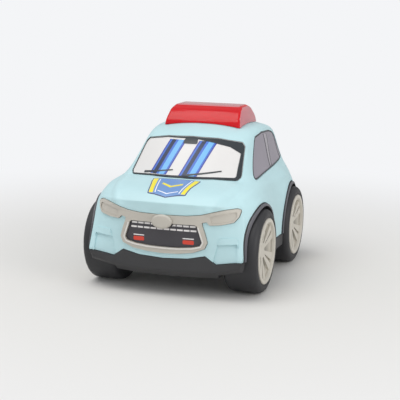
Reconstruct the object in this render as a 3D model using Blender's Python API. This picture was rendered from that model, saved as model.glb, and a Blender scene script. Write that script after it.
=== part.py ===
"""A chunky push-and-go toy car: moulded shell, tray chassis, friction motor and four wheels.

The nose points along -Y, +Z is up and the car's left side is at +X. The wheels stand on z = 0.
Distances called "behind the front axle" grow towards the tail.
"""

import math

import bmesh
import bpy

# Clearances and overall sizes, in metres
CLEARANCE = 0.0003
WHEELBASE = 0.0775
NOSE_OVERHANG = 0.0313
TAIL_OVERHANG = 0.0313
BADGE_PROUD = 0.0036
BODY_HALF_WIDTH = 0.0515
WAIST_INSET = 0.0017
BELT_HALF_WIDTH = 0.0415
ROOF_HALF_WIDTH = 0.0345
ROOF_HEIGHT = 0.0950
BELT_HEIGHT = 0.0640
SHOULDER_HEIGHT = 0.0520
PARTING_HEIGHT = 0.0243
TRAY_BOTTOM = 0.0123
SHELL_WALL = 0.0036
SHELL_SKIN = 0.0011

# Wheels
TYRE_RADIUS = 0.0250
TYRE_INNER_X = 0.0328
TYRE_OUTER_X = 0.0537
TYRE_SHOULDER = 0.0032
TYRE_SIDES = 32
RIM_RADIUS = 0.0195
RIM_FACE_X = 0.0540
RIM_DEPTH = 0.0022
DISH_DEPTH = 0.0034
DISH_SLOPE = 0.17
WINDOW_DEPTH = 0.0008
HUB_BARREL_RADIUS = 0.0173
HUB_BOSS_RADIUS = 0.0036
HUB_SIDES = 24
SPOKE_PAIRS = 5
AXLE_RADIUS = 0.0015
AXLE_END_X = 0.0480

# Wheel arches and wells
ARCH_HALF_LENGTH = 0.0275
ARCH_RISE = 0.0283
WELL_WALL = 0.0011
WELL_INNER_X = 0.0304
SKIN_PROUD = 0.0004

# Chassis
CHIN_RISE = 0.0042
CHIN_CORNER_RISE = 0.0075
CHIN_SETBACK = 0.0045
TRAY_FLOOR = 0.0024
SKIRT_WALL = 0.0022
BUMPER_PEAK_X = 0.0249
BUMPER_PEAK_RISE = 0.0022
BUMPER_MID_DROP = 0.0008
BUMPER_NOTCH_X = 0.0312
BUMPER_NOTCH_DROP = 0.0023
SILL_LIFT = 0.0047
SILL_RISER_X = 0.0340
SILL_RISER_THICKNESS = 0.0020
POST_X = 0.0265
POST_THICKNESS = 0.0030
POST_HALF_LENGTH = 0.0042
PILLAR_X = 0.0140
PILLAR_RADIUS = 0.0030
CLIP_THICKNESS = 0.0020
CLIP_HALF_LENGTH = 0.0045

# Screws and bosses
SCREW_RADIUS = 0.0012
SCREW_HEAD_RADIUS = 0.0026
SCREW_HEAD_HEIGHT = 0.0011
SCREW_LENGTH = 0.0075
SCREW_SIDES = 10
BOSS_RADIUS = 0.0034
FRONT_BOSS_X = 0.0200
FRONT_BOSS_SETBACK = 0.0125
REAR_BOSS_X = 0.0220
REAR_BOSS_SETBACK = 0.0120

# Inlays on the shell
WINDOW_SUNK = 0.0003
WINDOW_THICKNESS = 0.0016
POCKET_REACH = 0.0010
TRIM_PROUD = 0.0010
TRIM_SUNK = 0.0018
GRILLE_SUNK = 0.0002
LAMP_PROUD = 0.0005
FOG_DEPTH = 0.0007
TAIL_LAMP_REACH = 0.0128
BADGE_HALF_WIDTH = 0.0061
BADGE_HALF_HEIGHT = 0.0041
TRIM_HEIGHT = 0.0440
NOSE_STEPS = 515
BADGE_RISE = 0.0013
BADGE_ROOM = 0.0005
BADGE_SIDES = 24
WINDSCREEN_REACH = 0.0280
TAILGATE_REACH = 0.0247
TRIM_SETBACK = 0.0083

# Light bar
BAR_FRONT = 0.0385
BAR_LENGTH = 0.0395
BAR_HALF_WIDTH = 0.0248
BAR_TOP_HALF_WIDTH = 0.0229
BAR_RISE = 0.0086
BAR_SKIRT_RISE = 0.0014
BAR_WALL = 0.0014
BAR_POST_RADIUS = 0.0022
BAR_POST_X = 0.0120
BAR_POST_REACH = 0.0050

# Friction motor
GEAR_MODULE = 0.0006
AXLE_GEAR_TEETH = 26
IDLER_PINION_TEETH = 10
IDLER_WHEEL_TEETH = 26
ARBOR_TEETH = 9
GEAR_FACE = 0.0026
IDLER_ANGLE = math.radians(146)
ARBOR_ANGLE = math.radians(190)
PIN_RADIUS = 0.0010
FLYWHEEL_RADIUS = 0.0088
FLYWHEEL_THICKNESS = 0.0070
MOTOR_WALL = 0.0015
MOTOR_ROOM = 0.0008
FOOT_LENGTH = 0.0070
FOOT_HALF_WIDTH = 0.0040
FOOT_HEIGHT = 0.0100
LUG_RADIUS = 0.0023

# Places worked out from the sizes
AXLE_HEIGHT = TYRE_RADIUS * math.cos(math.pi / TYRE_SIDES)
LENGTH = NOSE_OVERHANG + BADGE_PROUD + WHEELBASE + TAIL_OVERHANG
FRONT_Y = -LENGTH / 2 + BADGE_PROUD + NOSE_OVERHANG
REAR_Y = FRONT_Y + WHEELBASE
NOSE_Y = FRONT_Y - NOSE_OVERHANG
TAIL_Y = REAR_Y + TAIL_OVERHANG
FLOOR_TOP = TRAY_BOTTOM + TRAY_FLOOR
BAR_HEIGHT = ROOF_HEIGHT + BAR_RISE
BAR_MIDDLE_Y = FRONT_Y + BAR_FRONT + BAR_LENGTH / 2
AXLE_POST_TOP = AXLE_HEIGHT + AXLE_RADIUS + 0.0012
CLIP_REACH = CLIP_HALF_LENGTH + PILLAR_RADIUS - 0.0010
OVERLAP = 0.0010
SIDE = BODY_HALF_WIDTH + 0.0100
FAR = 0.2


def remove_everything():
    for obj in list(bpy.data.objects):
        bpy.data.objects.remove(obj, do_unlink=True)


def material(name, colour, roughness, metallic=0.0):
    made = bpy.data.materials.new(name)
    made.use_nodes = True
    shader = made.node_tree.nodes["Principled BSDF"]
    shader.inputs["Base Color"].default_value = (*colour, 1.0)
    shader.inputs["Roughness"].default_value = roughness
    shader.inputs["Metallic"].default_value = metallic
    return made


def add_object(name, mesh, finish=None, place=(0, 0, 0), parent=None):
    obj = bpy.data.objects.new(name, mesh)
    bpy.context.scene.collection.objects.link(obj)
    obj.location = place
    if parent:
        obj.parent = parent
        obj.location = (0, 0, 0)
    if finish:
        mesh.materials.append(finish)
    return obj


def finished_mesh(bm, name, smooth_angle=None):
    bmesh.ops.recalc_face_normals(bm, faces=bm.faces)
    mesh = bpy.data.meshes.new(name)
    bm.to_mesh(mesh)
    bm.free()
    if smooth_angle:
        mesh.shade_smooth()
        mesh.set_sharp_from_angle(angle=math.radians(smooth_angle))
    return mesh


def as_guide(obj):
    obj.hide_render = True
    obj.display_type = "WIRE"
    return obj


def combine(obj, other, operation, solver="EXACT"):
    step = obj.modifiers.new(f"{operation.lower()}_{other.name}"[:60], "BOOLEAN")
    step.operation = operation
    step.solver = solver
    step.object = as_guide(other)
    return obj


def cut(obj, *others):
    for other in others:
        combine(obj, other, "DIFFERENCE")
    return obj


def join(obj, *others):
    for other in others:
        combine(obj, other, "UNION")
    return obj


def keep_inside(obj, other):
    return combine(obj, other, "INTERSECT")


# Simple solids

def prism_mesh(name, outline, axis, low, high):
    """Extrude an outline along X, Y or Z. Its points are the two other coordinates, in X, Y, Z order."""
    def point(a, b, along):
        if axis == "X":
            return (along, a, b)
        if axis == "Y":
            return (a, along, b)
        return (a, b, along)

    bm = bmesh.new()
    bottom = [bm.verts.new(point(a, b, low)) for a, b in outline]
    top = [bm.verts.new(point(a, b, high)) for a, b in outline]
    count = len(outline)
    bm.faces.new(bottom)
    bm.faces.new(reversed(top))
    for i in range(count):
        j = (i + 1) % count
        bm.faces.new((bottom[i], top[i], top[j], bottom[j]))
    return finished_mesh(bm, name)


def prism(name, outline, axis, low, high, **extra):
    return add_object(name, prism_mesh(name, outline, axis, low, high), **extra)


def box(name, low, high, **extra):
    outline = [(low[0], low[1]), (high[0], low[1]), (high[0], high[1]), (low[0], high[1])]
    return prism(name, outline, "Z", low[2], high[2], **extra)


def circle(centre, radius, sides):
    turn = 2 * math.pi / sides
    return [
        (centre[0] + radius * math.cos((i + 0.5) * turn), centre[1] + radius * math.sin((i + 0.5) * turn))
        for i in range(sides)
    ]


def rod(name, centre, radius, axis, low, high, sides=16, **extra):
    return prism(name, circle(centre, radius, sides), axis, low, high, **extra)


def turned_mesh(name, profile, sides):
    """Turn a closed profile of (x, radius) points about the X axis. Points at radius 0 are shared."""
    bm = bmesh.new()
    rings = []
    for x, radius in profile:
        if radius == 0:
            rings.append([bm.verts.new((x, 0, 0))] * sides)
            continue
        rings.append([bm.verts.new((x, b, c)) for b, c in circle((0, 0), radius, sides)])
    for ring, following in zip(rings, rings[1:] + rings[:1]):
        for i in range(sides):
            j = (i + 1) % sides
            corners = list(dict.fromkeys((ring[i], ring[j], following[j], following[i])))
            if len(corners) > 2:
                bm.faces.new(corners)
    return finished_mesh(bm, name, smooth_angle=35)


def mirrored(outline):
    """A left half after a right half, for an outline that starts and ends on the centre line."""
    return outline + [(-a, b) for a, b in reversed(outline) if a > 1e-9]


def grown(outline, distance):
    """Move every side of an outline outwards by the distance."""
    area = sum(a[0] * b[1] - b[0] * a[1] for a, b in zip(outline, outline[1:] + outline[:1]))
    sign = 1 if area > 0 else -1
    moved = []
    for i, point in enumerate(outline):
        before = outline[i - 1]
        after = outline[(i + 1) % len(outline)]
        first = (point[0] - before[0], point[1] - before[1])
        second = (after[0] - point[0], after[1] - point[1])
        first_length = math.hypot(*first)
        second_length = math.hypot(*second)
        n1 = (sign * first[1] / first_length, -sign * first[0] / first_length)
        n2 = (sign * second[1] / second_length, -sign * second[0] / second_length)
        share = distance / (1 + n1[0] * n2[0] + n1[1] * n2[1])
        moved.append((point[0] + (n1[0] + n2[0]) * share, point[1] + (n1[1] + n2[1]) * share))
    return moved


# The body's outer form: a cage of hand-placed points, subdivided

def stations():
    """Half sections from nose to tail: centre, inner roof, roof edge, belt, shoulder, parting, foot.

    Each point is (x, distance behind the front axle, z).
    """
    wide = BODY_HALF_WIDTH
    waist = wide - WAIST_INSET
    belt = BELT_HALF_WIDTH
    roof = ROOF_HALF_WIDTH
    top = ROOF_HEIGHT
    middle = WHEELBASE / 2
    rear = WHEELBASE
    nose = -NOSE_OVERHANG
    tail = rear + TAIL_OVERHANG
    shoulder = SHOULDER_HEIGHT
    edge = BELT_HEIGHT
    part = PARTING_HEIGHT + 0.0007
    foot = TRAY_BOTTOM
    return [
        [(0, nose, edge - 0.0085), (0.0170, nose + 0.0005, edge - 0.0085),
         (0.0305, nose + 0.0030, edge - 0.0090), (0.0425, nose + 0.0120, edge - 0.0095),
         (wide - 0.0060, nose + 0.0095, shoulder - 0.0060),
         (wide - 0.0050, nose + 0.0012, part), (wide - 0.0068, nose + 0.0028, foot + CHIN_CORNER_RISE)],
        [(0, nose + 0.0060, edge - 0.0028), (0.0170, nose + 0.0062, edge - 0.0028),
         (0.0305, nose + 0.0090, edge - 0.0032), (0.0440, nose + 0.0190, edge - 0.0062),
         (wide - 0.0009, nose + 0.0180, shoulder - 0.0015),
         (wide - 0.0004, nose + 0.0150, part), (wide - 0.0016, nose + 0.0150, foot)],
        [(0, -0.0140, edge + 0.0002), (0.0175, -0.0140, edge),
         (0.0330, -0.0100, edge - 0.0008), (0.0460, -0.0020, edge - 0.0040),
         (wide + 0.0014, 0, shoulder), (wide + 0.0018, 0, part), (wide - 0.0001, 0, foot)],
        [(0, -0.0020, edge + 0.0022), (0.0180, -0.0010, edge + 0.0019),
         (0.0362, 0.0070, edge - 0.0002), (belt + 0.0022, 0.0120, edge - 0.0022),
         (wide + 0.0007, 0.0160, shoulder), (wide + 0.0009, 0.0175, part), (wide - 0.0005, 0.0175, foot)],
        [(0, 0.0180, top - 0.0072), (0.0165, 0.0196, top - 0.0080),
         (roof - 0.0022, 0.0272, top - 0.0100), (belt + 0.0004, 0.0300, edge - 0.0010),
         (waist - 0.0006, 0.0310, shoulder), (waist, 0.0330, part), (waist - 0.0005, 0.0330, foot)],
        [(0, middle - 0.0020, top - 0.0012), (0.0170, middle - 0.0020, top - 0.0018),
         (roof - 0.0008, middle, top - 0.0052), (belt, middle + 0.0050, edge),
         (waist - 0.0006, middle + 0.0070, shoulder + 0.0005),
         (waist, middle + 0.0070, part), (waist - 0.0005, middle + 0.0070, foot)],
        [(0, rear - 0.0170, top), (0.0175, rear - 0.0170, top - 0.0006),
         (roof, rear - 0.0175, top - 0.0042), (belt - 0.0004, rear - 0.0185, edge + 0.0012),
         (wide - 0.0004, rear - 0.0175, shoulder + 0.0020),
         (wide + 0.0003, rear - 0.0165, part), (wide - 0.0007, rear - 0.0165, foot)],
        [(0, rear + 0.0060, top - 0.0022), (0.0170, rear + 0.0060, top - 0.0028),
         (roof - 0.0008, rear + 0.0050, top - 0.0064), (belt - 0.0012, rear + 0.0020, edge + 0.0026),
         (wide + 0.0001, rear, shoulder + 0.0028), (wide + 0.0014, rear, part), (wide - 0.0005, rear, foot)],
        [(0, tail - 0.0090, top - 0.0062), (0.0165, tail - 0.0095, top - 0.0068),
         (roof - 0.0022, tail - 0.0110, top - 0.0100), (belt - 0.0026, tail - 0.0100, edge + 0.0022),
         (wide - 0.0036, tail - 0.0085, shoulder), (wide - 0.0012, tail - 0.0015, part),
         (wide - 0.0028, tail - 0.0026, foot)],
    ]


def nose_rows():
    """The face of the nose: shoulder, parting and chin rows at the three inner columns."""
    nose = -NOSE_OVERHANG
    heights = (SHOULDER_HEIGHT - 0.0055, PARTING_HEIGHT + 0.0007, TRAY_BOTTOM + CHIN_RISE)
    setbacks = (0.0000, 0.0002, 0.0006)
    corner_rises = (0.0000, 0.0000, 0.0012)
    return [
        [(0, nose + back, z), (0.0175, nose + back + 0.0005, z), (0.0330, nose + back + 0.0018, z + rise)]
        for z, back, rise in zip(heights, setbacks, corner_rises)
    ]


def chin_row():
    """The front edge of the underside, set back below the chin."""
    edge = CHIN_SETBACK - NOSE_OVERHANG
    foot = TRAY_BOTTOM
    return [(0, edge, foot), (0.0170, edge + 0.0006, foot), (0.0310, edge + 0.0040, foot)]


def tail_rows():
    """The face of the tail: belt, shoulder, parting and foot rows at the two inner columns."""
    tail = WHEELBASE + TAIL_OVERHANG
    heights = (BELT_HEIGHT + 0.0040, SHOULDER_HEIGHT, PARTING_HEIGHT + 0.0007, TRAY_BOTTOM)
    setbacks = (0.0050, 0.0018, -0.0004, 0.0004)
    columns = (0.0200, 0.0240, 0.0290, 0.0290)
    return [
        [(0, tail - back, z), (x, tail - back - 0.0008, z)]
        for z, back, x in zip(heights, setbacks, columns)
    ]


def body_cage():
    """The closed cage, with crease weights where the real form turns sharply."""
    bm = bmesh.new()
    crease = bm.edges.layers.float.new("crease_edge")
    rows = stations()
    nose = nose_rows()
    chin = chin_row()
    tail = tail_rows()

    def side(sign, shared):
        def vert(point):
            x, y, z = point
            if x == 0:
                if point not in shared:
                    shared[point] = bm.verts.new((0, FRONT_Y + y, z))
                return shared[point]
            return bm.verts.new((sign * x, FRONT_Y + y, z))

        half = [[vert(point) for point in row] for row in rows]
        front = [half[0][0:4]]
        for level, row in enumerate(nose):
            front.append([vert(point) for point in row] + [half[0][4 + level]])
        under = [front[-1], [vert(point) for point in chin] + [half[1][6]]]
        back = [half[-1][0:3]]
        for level, row in enumerate(tail):
            back.append([vert(point) for point in row] + [half[-1][3 + level]])
        for grid in (half, front, under, back):
            for upper, lower in zip(grid, grid[1:]):
                for i in range(len(upper) - 1):
                    bm.faces.new((upper[i], upper[i + 1], lower[i + 1], lower[i]))
        foot = under[-1] + [row[-1] for row in half[2:]] + list(reversed(back[-1][:-1]))
        return half, front, back, foot

    def soften(chain, weight):
        for first, second in zip(chain, chain[1:]):
            edge = bm.edges.get((first, second))
            edge[crease] = weight

    shared = {}
    feet = []
    for sign in (1, -1):
        half, front, back, foot = side(sign, shared)
        feet.append(foot)
        soften(foot, 1.0)
        soften(front[-1] + [half[1][6]], 0.70)
        soften(front[0], 0.30)
        soften([row[3] for row in front[1:]], 0.60)
        soften(back[0], 0.55)
        soften([half[-1][i] for i in range(4, 7)], 0.50)
        soften([half[0][2], half[1][2], half[2][2], half[3][2]], 0.55)
        soften(half[3][0:3], 0.60)
        soften(half[4][0:3], 0.25)
        soften([half[j][2] for j in range(3, 9)], 0.35)
        soften([half[j][3] for j in range(3, 9)], 0.30)
    bm.faces.new(feet[0] + list(reversed(feet[1]))[1:-1])
    return finished_mesh(bm, "body_cage")


def body_form(name, offset, level=2):
    """A guide of the body's form, moved outwards by the offset."""
    form = as_guide(add_object(name, body_cage()))
    smooth = form.modifiers.new("form", "SUBSURF")
    smooth.levels = level
    smooth.render_levels = level
    if offset:
        shift = form.modifiers.new("shift", "DISPLACE")
        shift.direction = "NORMAL"
        shift.mid_level = 0.0
        shift.strength = offset
    split = form.modifiers.new("split", "TRIANGULATE")
    split.quad_method = "FIXED"
    return form


def layer(name, outline, axis, low, high, outer, inner, finish=None):
    """A piece that follows the body's form between two depths, inside an outline. Its back is coarser."""
    piece = prism(name, outline, axis, low, high, finish=finish)
    keep_inside(piece, body_form(f"{name}_outside", outer))
    cut(piece, body_form(f"{name}_inside", inner, level=1))
    return piece


# Outlines on the shell, from the centre line outwards

def windscreen_outline():
    low = BELT_HEIGHT
    high = ROOF_HEIGHT - 0.0085
    wide = ROOF_HALF_WIDTH
    return mirrored([(0, low + 0.0016), (wide - 0.0145, low + 0.0014), (wide - 0.0015, low + 0.0004),
                     (wide, low + 0.0022), (wide - 0.0028, high - 0.0045), (wide - 0.0047, high - 0.0022),
                     (wide - 0.0185, high), (0, high + 0.0006)])


def side_window_outline():
    low = BELT_HEIGHT
    high = ROOF_HEIGHT - 0.0082
    front = FRONT_Y + 0.0142
    rear = REAR_Y + 0.0128
    return [(front, low - 0.0006), (front + 0.0225, high - 0.0030), (front + 0.0262, high - 0.0006),
            (front + 0.0400, high + 0.0008), (rear - 0.0180, high - 0.0002), (rear - 0.0085, high - 0.0022),
            (rear - 0.0045, high - 0.0050), (rear, low + 0.0042), (rear - 0.0120, low + 0.0030)]


def tailgate_window_outline():
    low = BELT_HEIGHT + 0.0062
    high = ROOF_HEIGHT - 0.0110
    wide = ROOF_HALF_WIDTH - 0.0077
    return mirrored([(0, low), (wide - 0.0018, low), (wide, low + 0.0016), (wide - 0.0023, high - 0.0022),
                     (wide - 0.0043, high - 0.0006), (0, high)])


def tail_lamp_outline(sign):
    low = SHOULDER_HEIGHT - 0.0045
    high = SHOULDER_HEIGHT + 0.0075
    wide = BODY_HALF_WIDTH - 0.0079
    points = [(wide - 0.0134, low), (wide - 0.0151, high - 0.0040), (wide - 0.0121, high),
              (wide - 0.0031, high), (wide - 0.0008, high - 0.0030), (wide, low)]
    return [(sign * x, z) for x, z in points]


def across(*points):
    """Points whose sideways place is given in steps, so that they widen and narrow with the body."""
    step = BODY_HALF_WIDTH / NOSE_STEPS
    return mirrored([(steps * step, z) for steps, z in points])


def trim_outline():
    """Headlamps, bar and grille frame in one outline."""
    bar = TRIM_HEIGHT + 0.0046
    frame = TRIM_HEIGHT - 0.0175
    return across((0, bar), (140, bar + 0.0003), (220, bar + 0.0012), (285, bar + 0.0030),
                  (350, bar + 0.0043), (410, bar + 0.0048), (432, bar + 0.0040),
                  (424, bar + 0.0004), (402, bar - 0.0024), (336, bar - 0.0037), (274, bar - 0.0041),
                  (258, bar - 0.0022), (226, bar - 0.0030),
                  (246, frame + 0.0136), (262, frame + 0.0078), (246, frame + 0.0042),
                  (180, frame + 0.0016), (90, frame + 0.0004), (0, frame))


def grille_outline():
    bar = TRIM_HEIGHT
    frame = TRIM_HEIGHT - 0.0140
    return across((0, bar), (190, bar + 0.0002), (204, bar - 0.0006), (234, frame + 0.0044),
                  (222, frame + 0.0022), (170, frame + 0.0009), (90, frame + 0.0002), (0, frame))


def fog_outline(sign):
    """A shallow stepped panel in each lower corner of the nose."""
    low = PARTING_HEIGHT - 0.0057
    high = PARTING_HEIGHT + 0.0098
    wide = BODY_HALF_WIDTH - 0.0088
    points = [(wide - 0.0144, low), (wide - 0.0107, high - 0.0007),
              (wide + 0.0002, high + 0.0002), (wide + 0.0013, low)]
    return [(sign * x, z) for x, z in points]


def bumper_line(gap):
    """The stepped upper edge of a bumper, from one side to the other, lowered by the gap."""
    z = PARTING_HEIGHT - gap
    half = [(0, z - BUMPER_MID_DROP), (0.0150, z), (BUMPER_PEAK_X, z + BUMPER_PEAK_RISE),
            (BUMPER_NOTCH_X, z - BUMPER_NOTCH_DROP), (0.0452, z), (SIDE, z)]
    return [(-a, b) for a, b in reversed(half) if a > 0] + half


def sill_line(gap):
    z = PARTING_HEIGHT - gap
    return [(-SIDE, z), (SIDE, z)]


def arch_outline(axle_y, growth):
    """A wheel arch in side view: half an ellipse over two straight legs."""
    long = ARCH_HALF_LENGTH + growth
    rise = ARCH_RISE + growth
    steps = 16
    points = [
        (axle_y + long * math.cos(math.pi * i / steps), AXLE_HEIGHT + rise * math.sin(math.pi * i / steps))
        for i in range(steps + 1)
    ]
    return points + [(axle_y - long, 0), (axle_y + long, 0)]


# Ranges along Y in which each parting line counts
PARTING_ZONES = (
    ("front", NOSE_Y - 0.010, FRONT_Y, bumper_line),
    ("middle", FRONT_Y - 0.001, REAR_Y + 0.001, sill_line),
    ("rear", REAR_Y, TAIL_Y + 0.010, bumper_line),
)


def parting_blocks(label, gap, above):
    """Guides that fill the space above or below the parting line."""
    level = BELT_HEIGHT if above else -TRAY_BOTTOM
    blocks = []
    for zone, low, high, line in PARTING_ZONES:
        outline = line(gap) + [(SIDE, level), (-SIDE, level)]
        blocks.append(prism(f"{label}_{zone}", outline, "Y", low, high))
    return blocks


def wheel_bays(label, growth, inner_x, bottom=0.0, outer_x=SIDE):
    """Guides for the four arched bays, from the inner wall out past the side."""
    bays = []
    for end, axle_y in (("front", FRONT_Y), ("rear", REAR_Y)):
        outline = arch_outline(axle_y, growth)
        reach = ARCH_HALF_LENGTH + growth
        outline[-2:] = [(axle_y - reach, bottom), (axle_y + reach, bottom)]
        for sign in (1, -1):
            low, high = sorted((sign * inner_x, sign * outer_x))
            bays.append(prism(f"{label}_{end}_{'left' if sign > 0 else 'right'}", outline, "X", low, high))
    return bays


def nose_span(extra=0.0):
    """The stretch along Y that holds the nose trim."""
    return NOSE_Y - BADGE_PROUD, FRONT_Y - TRIM_SETBACK + extra


def tail_span(extra=0.0):
    """The stretch along Y that holds a tail lamp."""
    return TAIL_Y - TAIL_LAMP_REACH - extra, TAIL_Y + 2 * POCKET_REACH


def window_places(extra=0.0):
    """Name, outline, axis and stretch along it of each window."""
    inner = BELT_HALF_WIDTH / 2
    screen_end = FRONT_Y + WINDSCREEN_REACH + extra
    tail_start = TAIL_Y - TAILGATE_REACH - extra
    return (
        ("windscreen", windscreen_outline(), "Y", FRONT_Y - WINDSCREEN_REACH / 2, screen_end),
        ("side_window_left", side_window_outline(), "X", inner, SIDE),
        ("side_window_right", side_window_outline(), "X", -SIDE, -inner),
        ("tailgate_window", tailgate_window_outline(), "Y", tail_start, TAIL_Y + 2 * POCKET_REACH),
    )


def boss_places():
    front = NOSE_Y + FRONT_BOSS_SETBACK
    rear = TAIL_Y - REAR_BOSS_SETBACK
    return [(FRONT_BOSS_X, front), (-FRONT_BOSS_X, front), (REAR_BOSS_X, rear), (-REAR_BOSS_X, rear)]


def skin(bm, rings):
    """Close a stack of rings into a solid."""
    bm.faces.new(rings[0])
    bm.faces.new(rings[-1])
    count = len(rings[0])
    for ring, following in zip(rings, rings[1:]):
        for i in range(count):
            j = (i + 1) % count
            bm.faces.new((ring[i], ring[j], following[j], following[i]))


def add_screw(name, place, axis, way, steel):
    """A pan-head screw: its head starts at the place and its shank points the given way along the axis."""
    neck = SCREW_HEAD_HEIGHT
    levels = ((0, SCREW_HEAD_RADIUS), (neck, SCREW_HEAD_RADIUS), (neck, SCREW_RADIUS),
              (neck + SCREW_LENGTH, SCREW_RADIUS))
    bm = bmesh.new()
    rings = []
    for height, radius in levels:
        ring = circle((0, 0), radius, SCREW_SIDES)
        if axis == "X":
            rings.append([bm.verts.new((way * height, a, b)) for a, b in ring])
        else:
            rings.append([bm.verts.new((a, b, way * height)) for a, b in ring])
    skin(bm, rings)
    add_object(name, finished_mesh(bm, name, smooth_angle=35), steel, place=place)


def make_shell(blue):
    shell = body_form("body_shell", 0)
    shell.hide_render = False
    shell.display_type = "TEXTURED"
    shell.data.materials.append(blue)
    cut(shell, body_form("shell_core", -SHELL_WALL, level=1))
    places = boss_places()
    for number, (x, y) in enumerate(places):
        boss = rod(f"shell_boss_{number}", (x, y), BOSS_RADIUS, "Z", TRAY_BOTTOM, FAR, sides=12)
        keep_inside(boss, body_form(f"shell_boss_limit_{number}", -SHELL_SKIN))
        join(shell, boss)
    cut(shell, *parting_blocks_around_bosses())
    bore = SCREW_RADIUS + CLEARANCE
    for number, place in enumerate(places):
        cut(shell, rod(f"shell_bore_{number}", place, bore, "Z", 0, FLOOR_TOP + SCREW_LENGTH))
    cut(shell, *wheel_bays("shell_arch", CLEARANCE, WELL_INNER_X - CLEARANCE))
    for side, sign in (("left", 1), ("right", -1)):
        fog = layer(f"fog_pocket_{side}", fog_outline(sign), "Y", NOSE_Y - POCKET_REACH, FRONT_Y - 0.0200,
                    POCKET_REACH, -FOG_DEPTH)
        combine(shell, fog, "DIFFERENCE", solver="MANIFOLD")
    depth = WINDOW_SUNK + WINDOW_THICKNESS + CLEARANCE
    for name, outline, axis, low, high in window_places(CLEARANCE):
        cut(shell, layer(f"{name}_pocket", grown(outline, CLEARANCE), axis, low, high, POCKET_REACH, -depth))
    cut(shell, layer("trim_pocket", grown(trim_outline(), CLEARANCE), "Y", *nose_span(CLEARANCE),
                     POCKET_REACH, -TRIM_SUNK - CLEARANCE))
    for side, sign in (("left", 1), ("right", -1)):
        lamp = grown(tail_lamp_outline(sign), CLEARANCE)
        cut(shell, layer(f"tail_lamp_pocket_{side}", lamp, "Y", *tail_span(CLEARANCE), POCKET_REACH, -depth))
        place = (sign * BAR_POST_X, BAR_MIDDLE_Y)
        cut(shell, rod(f"bar_hole_{side}", place, BAR_POST_RADIUS + CLEARANCE, "Z",
                       ROOF_HEIGHT - 2 * BAR_POST_REACH, FAR))
    return shell


def parting_blocks_around_bosses():
    """The space below the parting line, left solid where the screw bosses come down."""
    blocks = parting_blocks("below", 0, above=False)
    radius = BOSS_RADIUS + CLEARANCE
    for block in blocks:
        for number, place in enumerate(boss_places()):
            cut(block, rod(f"{block.name}_keep_{number}", place, radius, "Z",
                           FLOOR_TOP + CLEARANCE, FAR, sides=12))
    return blocks


def make_chassis(black):
    front, rear = NOSE_Y - BADGE_PROUD, TAIL_Y + BADGE_PROUD
    high = PARTING_HEIGHT + 2 * BUMPER_PEAK_RISE
    chassis = box("chassis", (-SIDE, front, TRAY_BOTTOM), (SIDE, rear, high), finish=black)
    cut(chassis, *parting_blocks("above", CLEARANCE, above=True))
    cavity = box("chassis_cavity", (-SIDE, front, FLOOR_TOP), (SIDE, rear, BELT_HEIGHT))
    keep_inside(cavity, body_form("chassis_cavity_side", -SKIRT_WALL, level=1))
    cut(chassis, cavity)
    join(chassis, *wheel_bays("well", -CLEARANCE, WELL_INNER_X, TRAY_BOTTOM + OVERLAP))
    keep_inside(chassis, body_form("chassis_outside", SKIN_PROUD))
    cut(chassis, *wheel_bays("bay", -CLEARANCE - WELL_WALL, WELL_INNER_X + WELL_WALL, bottom=-TRAY_BOTTOM))
    way = AXLE_RADIUS + 2 * CLEARANCE
    for end, axle_y in (("front", FRONT_Y), ("rear", REAR_Y)):
        cut(chassis, rod(f"axle_way_{end}", (axle_y, AXLE_HEIGHT), way, "X", -FAR, FAR))
    for side, sign in (("left", 1), ("right", -1)):
        add_sill(chassis, side, sign)
        add_axle_post(chassis, side, sign)
    bore = SCREW_RADIUS + CLEARANCE
    seat = SCREW_HEAD_RADIUS + CLEARANCE
    seat_top = TRAY_BOTTOM + SCREW_HEAD_HEIGHT + CLEARANCE
    for number, place in enumerate(boss_places() + motor_screw_places()):
        cut(chassis, rod(f"floor_hole_{number}", place, bore, "Z", 0, FLOOR_TOP + OVERLAP))
        cut(chassis, rod(f"floor_seat_{number}", place, seat, "Z", 0, seat_top))
    return chassis


def side_box(name, inner_x, outer_x, sign, start, end, low, high):
    """A box on one side of the car."""
    near, far = sorted((sign * inner_x, sign * outer_x))
    return box(name, (near, start, low), (far, end, high))


def add_sill(chassis, side, sign):
    """The tray's edge between the wheels, stepped up over a riser."""
    start = FRONT_Y + ARCH_HALF_LENGTH - CLEARANCE - WELL_WALL / 2
    end = REAR_Y - ARCH_HALF_LENGTH + CLEARANCE + WELL_WALL / 2
    step = TRAY_BOTTOM + SILL_LIFT
    inner = SILL_RISER_X - SILL_RISER_THICKNESS
    cut(chassis, side_box(f"sill_cut_{side}", SILL_RISER_X, SIDE, sign,
                          start - WELL_WALL, end + WELL_WALL, 0, step))
    ledge = side_box(f"sill_floor_{side}", inner, SIDE, sign, start, end, step, step + TRAY_FLOOR)
    keep_inside(ledge, body_form(f"sill_floor_limit_{side}", 0))
    join(chassis, ledge)
    join(chassis, side_box(f"sill_riser_{side}", inner, SILL_RISER_X, sign, start, end,
                           TRAY_BOTTOM + OVERLAP, step + OVERLAP))


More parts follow.
